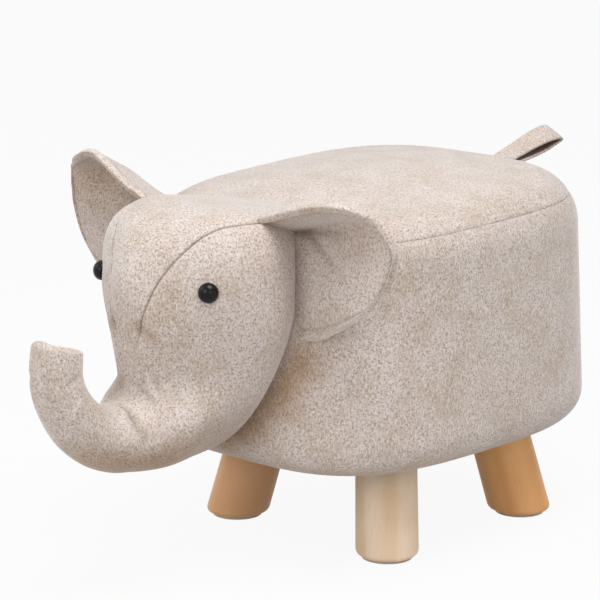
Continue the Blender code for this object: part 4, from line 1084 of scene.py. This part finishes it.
class FOOTSTOOL_OT_ears(bpy.types.Operator):
    """Two cupped ears of double cloth, sewn in beside the head"""

    bl_idname = "footstool.ears"
    bl_label = "Ears"

    def execute(self, context):
        for name, side in (("left", 1), ("right", -1)):
            bm = bmesh.new()
            for front in (True, False):
                shape = partial(ear_layer, name, side, front)
                bm.from_mesh(sheet_mesh("ear_layer", 64, 62, shape))
            bmesh.ops.remove_doubles(bm, verts=bm.verts[:], dist=0.05 * MM)
            # The tip, where the two edges meet, is turned out round
            tip = ear_middle(EAR_TOPS[name], np.array([1.0]), np.array([0.0]))[0]
            tip = Vector(tip * (side, 1, 1) + SHIFT)
            for reach in (12, 12, 10, 10, 8, 8, 8, 6):
                near_tip = [v for v in bm.verts if (v.co - tip).length < reach * MM]
                bmesh.ops.smooth_vert(
                    bm, verts=near_tip, factor=0.6, use_axis_x=True, use_axis_y=True, use_axis_z=True
                )
            mesh = made_of(bm, f"{name}_ear_cloth")
            ear = add_cloth(mesh, (f"{name}_ear",), body=None, offset=(0.05 * side, 0.3, 0))
            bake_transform(ear)
        return {"FINISHED"}


class FOOTSTOOL_OT_eyes(bpy.types.Operator):
    """Domed black eyes, set on the cheeks"""

    bl_idname = "footstool.eyes"
    bl_label = "Eyes"

    def execute(self, context):
        parts = context.scene.footstool_parts
        head = bpy.data.objects["head_skin"]
        tree = BVHTree.FromObject(head, context.evaluated_depsgraph_get())
        black = polished_black()
        radius = parts.eye_radius
        # From the dome's top down to its edge, and in under it
        turns = [math.pi / 2 * i / 12 for i in range(13)]
        profile = [(radius * math.sin(turn), 0, radius * EYE_DOME * math.cos(turn)) for turn in turns]
        profile += [(radius * 0.93, 0, -0.5 * MM), (radius * 0.3, 0, -0.6 * MM), (0, 0, -0.6 * MM)]
        for name, side in (("left", 1), ("right", -1)):
            origin = Vector((side * parts.eye_spread + SHIFT[0], -1, parts.eye_height))
            place, normal, _, _ = tree.ray_cast(origin, Vector((0, 1, 0)))
            if place is None:
                raise RuntimeError("The head has no cheek where the eye goes")
            bm = bmesh.new()
            verts = [bm.verts.new(point) for point in profile]
            edges = [bm.edges.new(pair) for pair in zip(verts[:-1], verts[1:])]
            bmesh.ops.spin(
                bm,
                geom=verts + edges,
                cent=(0, 0, 0),
                axis=(0, 0, 1),
                angle=2 * math.pi,
                steps=40,
                use_merge=True,
            )
            bmesh.ops.remove_doubles(bm, verts=bm.verts[:], dist=0.01 * MM)
            turn = Vector((0, 0, 1)).rotation_difference(normal).to_matrix()
            bmesh.ops.rotate(bm, verts=bm.verts[:], cent=(0, 0, 0), matrix=turn)
            bmesh.ops.translate(bm, verts=bm.verts[:], vec=place)
            mesh = made_of(bm, f"{name}_eye_dome")
            add_piece(mesh.name, mesh, black, replaced=(f"{name}_eye",))
        return {"FINISHED"}


class FOOTSTOOL_OT_tail(bpy.types.Operator):
    """Tail loop: a folded strap of the same cloth, its brown back turned inwards"""

    bl_idname = "footstool.tail"
    bl_label = "Tail loop"

    def execute(self, context):
        mesh = sheet_mesh("tail_strap", 40, 120, tail_shape)
        tail = add_cloth(mesh, ("tail_loop",), offset=(0.2, 0, 0.1))
        return {"FINISHED"}


class FOOTSTOOL_OT_legs(bpy.types.Operator):
    """Four turned legs, cut level at both ends, with felt pads"""

    bl_idname = "footstool.legs"
    bl_label = "Legs"

    def execute(self, context):
        wood = turned_wood()
        # Felt looks matt and a little woolly
        felt = plain_finish("pressed felt", "#DCCFBC", "#C8BAA6", 1.2 * MM, 0.95, depth=0.2)
        for number, (name, (side_x, side_y, tint)) in enumerate(LEGS.items()):
            low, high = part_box(f"{name}_leg")
            foot, top = (
                Vector((side_x * spread + SHIFT[0], side_y * spread + LEG_SET_BACK + SHIFT[1], height))
                for spread, height in ((LEG_FOOT_SPREAD, low.z), (LEG_TOP_SPREAD, high.z))
            )
            turn = Vector((0, 0, 1)).rotation_difference((top - foot).normalized()).to_matrix().to_4x4()
            turn.translation = (foot + top) / 2
            bm = bmesh.new()
            bmesh.ops.create_cone(
                bm,
                cap_ends=True,
                segments=96,
                radius1=LEG_FOOT_RADIUS,
                radius2=LEG_TOP_RADIUS,
                depth=(top - foot).length + LEG_SPARE,
            )
            bmesh.ops.transform(bm, verts=bm.verts[:], matrix=turn)
            for height, normal in ((low.z, (0, 0, -1)), (high.z, (0, 0, 1))):
                made = bmesh.ops.bisect_plane(
                    bm,
                    geom=bm.verts[:] + bm.edges[:] + bm.faces[:],
                    plane_co=(0, 0, height),
                    plane_no=normal,
                    clear_outer=True,
                )["geom_cut"]
                edges = [e for e in made if isinstance(e, bmesh.types.BMEdge)]
                bmesh.ops.contextual_create(bm, geom=edges)
            for height, size, segments in ((low.z, LEG_FOOT_EDGE, 6), (high.z, LEG_TOP_EDGE, 2)):
                rim = [e for e in bm.edges if all(abs(v.co.z - height) < 0.03 * MM for v in e.verts)]
                bmesh.ops.bevel(
                    bm, geom=rim, offset=size, segments=segments, profile=0.5, affect="EDGES", material=-1
                )
            mesh = made_of(bm, f"{name}_turned_leg")
            mesh.set_sharp_from_angle(angle=math.radians(50))
            # The grain runs along the leg, and each leg is cut from another place in the wood
            upright = turn.inverted()
            cut_from = np.array((0.008 * (number - 1.5), 0.006 * number, 0.13 * number), np.float32)
            places = np.array([upright @ v.co for v in mesh.vertices], np.float32)
            keep_places(mesh, "grain_place", places + cut_from)
            shade = np.array((*srgb(tint), 1), np.float32)
            layer = mesh.attributes.new("tint", "FLOAT_COLOR", "POINT")
            layer.data.foreach_set("color", np.tile(shade, len(mesh.vertices)))
            add_piece(mesh.name, mesh, wood, replaced=(f"{name}_leg",))
            refinish(frame["nodes"][f"{name}_foot_pad"], felt)
        return {"FINISHED"}


class FOOTSTOOL_OT_underside(bpy.types.Operator):
    """Black dust cloth stapled under the base"""

    bl_idname = "footstool.underside"
    bl_label = "Underside"

    def execute(self, context):
        # Spun cloth looks matt and flat, galvanised wire greyish with a soft gloss
        cloth = plain_finish("spun dust cloth", "#1C1B1B", "#2B2929", 0.9 * MM, 0.95, depth=0.1)
        wire = plain_finish("galvanised wire", "#B9B9B4", "#9A9A95", 0.6 * MM, 0.4, 1.0, 0.02)
        low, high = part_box("dust_cover")
        half_x, half_y = (high.x - low.x) / 2, (high.y - low.y) / 2

        def sagging(across, along):
            x, y = drum_outline(across * 2 * math.pi, half_x * along, half_y * along)
            # It sags by 0.9 mm in the middle, with ripples of about 0.1 mm
            drop = 0.9 * MM * (1 - along**2) ** 2
            drop = drop + 0.12 * MM * waves(x * 90 + y * 60, 8, 5) * (1 - along**4)
            return np.stack((x, y, (low.z + high.z) / 2 - drop), axis=-1) + SHIFT, {}

        mesh = sheet_mesh("dust_cloth", 96, 24, sagging)
        dust = add_piece("dust_cloth", mesh, cloth, replaced=("dust_cover",))
        cloth_thickness = dust.modifiers.new("cloth", "SOLIDIFY")
        cloth_thickness.thickness = 0.6 * MM

        bm = bmesh.new()
        for i in range(STAPLES):
            angle = 2 * math.pi * (i + 0.5) / STAPLES
            angles = np.array((angle, angle + 0.01))
            (x, ahead_x), (y, ahead_y) = drum_outline(angles, half_x - STAPLE_IN, half_y - STAPLE_IN)
            # Along the edge, each a little askew
            heading = math.atan2(ahead_y - y, ahead_x - x) + 0.12 * math.sin(i * 2.4)
            c, s = math.cos(heading), math.sin(heading)
            made = bmesh.ops.create_cone(
                bm,
                cap_ends=True,
                segments=8,
                radius1=STAPLE_RADIUS,
                radius2=STAPLE_RADIUS,
                depth=STAPLE_LENGTH,
            )["verts"]
            for vert in made:
                out, up, along = vert.co
                bend = 0.25 * MM * (abs(along) / (STAPLE_LENGTH / 2)) ** 6
                vert.co = (
                    x + SHIFT[0] + c * along - s * out,
                    y + SHIFT[1] + s * along + c * out,
                    low.z - 0.4 * MM + up + bend,
                )
        add_piece("staples", made_of(bm, "staples"), wire)
        return {"FINISHED"}


class FOOTSTOOL_OT_inside(bpy.types.Operator):
    """Finishes for the boards, posts and fixings inside the drum and head"""

    bl_idname = "footstool.inside"
    bl_label = "Inside"

    def execute(self, context):
        # Sawn and planed wood looks dry with a coarse figure, hardboard even and dark, zinc plate softly
        # bright, and the moulded washers a little waxy
        finishes = {
            "plywood": plain_finish("sawn plywood", "#C79A66", "#A97B4A", 4 * MM, 0.75),
            "pine": plain_finish("planed pine", "#DDBB86", "#C49A62", 3 * MM, 0.6),
            "hardboard": plain_finish("hardboard", "#6B4529", "#553520", 1.5 * MM, 0.7),
            "zinc_steel": plain_finish("zinc plate", "#C4C6C2", "#A9ABA8", 2 * MM, 0.35, 1.0, 0.02),
            "washer_plastic": plain_finish("washer plastic", "#E4E2DC", "#D6D4CE", 2 * MM, 0.45),
        }
        slots = {part["node"]: part["material_slot"] for part in frame["record"]["subparts"]}
        for name, node in frame["nodes"].items():
            if slots[name] in finishes:
                refinish(node, finishes[slots[name]])
        return {"FINISHED"}


class FOOTSTOOL_OT_studio(bpy.types.Operator):
    """Pale floor, soft lamps and the camera where the photograph was taken from"""

    bl_idname = "footstool.studio"
    bl_label = "Studio"

    def execute(self, context):
        scene = context.scene
        studio = scene.footstool_studio
        bm = bmesh.new()
        bmesh.ops.create_grid(bm, x_segments=1, y_segments=1, size=FLOOR_SIZE)
        # A hair below the pads, so that the two don't lie in one plane
        bmesh.ops.translate(bm, verts=bm.verts[:], vec=(0, 0, -0.1 * MM))
        floor = bpy.data.objects.new("floor", made_of(bm, "floor", smooth=False))
        floor.data.materials.append(white_paper())
        scene.collection.objects.link(floor)

        # The room looks white, but lights the object less than white would
        world = bpy.data.worlds.new("studio")
        scene.world = world
        world.use_nodes = True
        tree = world.node_tree
        feeds = ((0, seen_directly(tree)), (1, 1 - studio.world), (2, studio.world))
        strength = add_node(tree, "ShaderNodeMath", feeds, operation="MULTIPLY_ADD")
        background = tree.nodes["Background"]
        feed(tree, background.inputs["Color"], (1, 1, 1))
        feed(tree, background.inputs["Strength"], strength)

        for name, (place, size) in LAMPS.items():
            lamp = bpy.data.lights.new(name, "AREA")
            lamp.shape = "DISK"
            lamp.size = size
            lamp.energy = getattr(studio, f"{name}_power")
            holder = bpy.data.objects.new(name, lamp)
            holder.location = place
            holder.rotation_euler = (LAMPS_AIM - Vector(place)).to_track_quat("-Z", "Y").to_euler()
            scene.collection.objects.link(holder)

        lens = bpy.data.cameras.new("camera")
        lens.lens = CAMERA_LENS
        lens.sensor_width = CAMERA_SENSOR
        camera = bpy.data.objects.new("camera", lens)
        level = math.cos(CAMERA_ELEVATION)
        back = Vector(
            (math.sin(CAMERA_AZIMUTH) * level, -math.cos(CAMERA_AZIMUTH) * level, math.sin(CAMERA_ELEVATION))
        )
        camera.location = Vector(CAMERA_PLACE + SHIFT)
        camera.rotation_euler = back.to_track_quat("Z", "Y").to_euler()
        scene.collection.objects.link(camera)
        scene.camera = camera
        scene.view_settings.view_transform = "Standard"
        return {"FINISHED"}


class FOOTSTOOL_PT_panel(bpy.types.Panel):
    """Buttons that dress the footstool, in the order that the pieces need"""

    bl_idname = "FOOTSTOOL_PT_panel"
    bl_label = "Footstool"
    bl_space_type = "VIEW_3D"
    bl_region_type = "UI"
    bl_category = "Footstool"

    def draw(self, context):
        layout = self.layout
        for name, _ in GROUPS:
            box = layout.box()
            group = getattr(context.scene, name)
            for key in group.__annotations__:
                box.prop(group, key)
        for operator in OPERATORS:
            layout.operator(operator.bl_idname)


GROUPS = (
    ("footstool_cloth", FootstoolCloth),
    ("footstool_parts", FootstoolParts),
    ("footstool_studio", FootstoolStudio),
)
OPERATORS = (
    FOOTSTOOL_OT_drum,
    FOOTSTOOL_OT_head,
    FOOTSTOOL_OT_ears,
    FOOTSTOOL_OT_eyes,
    FOOTSTOOL_OT_tail,
    FOOTSTOOL_OT_legs,
    FOOTSTOOL_OT_underside,
    FOOTSTOOL_OT_inside,
    FOOTSTOOL_OT_studio,
)


def register():
    """Makes the settings, the operators and the panel known to Blender."""
    for name, group in GROUPS:
        bpy.utils.register_class(group)
        setattr(bpy.types.Scene, name, bpy.props.PointerProperty(type=group))
    for kind in (*OPERATORS, FOOTSTOOL_PT_panel):
        bpy.utils.register_class(kind)


def unregister():
    """Takes them out again, in the opposite order."""
    for kind in (FOOTSTOOL_PT_panel, *reversed(OPERATORS)):
        bpy.utils.unregister_class(kind)
    for name, group in reversed(GROUPS):
        delattr(bpy.types.Scene, name)
        bpy.utils.unregister_class(group)


def main():
    register()
    for operator in OPERATORS:
        getattr(bpy.ops.footstool, operator.bl_idname.split(".")[1])()


if __name__ == "__main__":
    main()
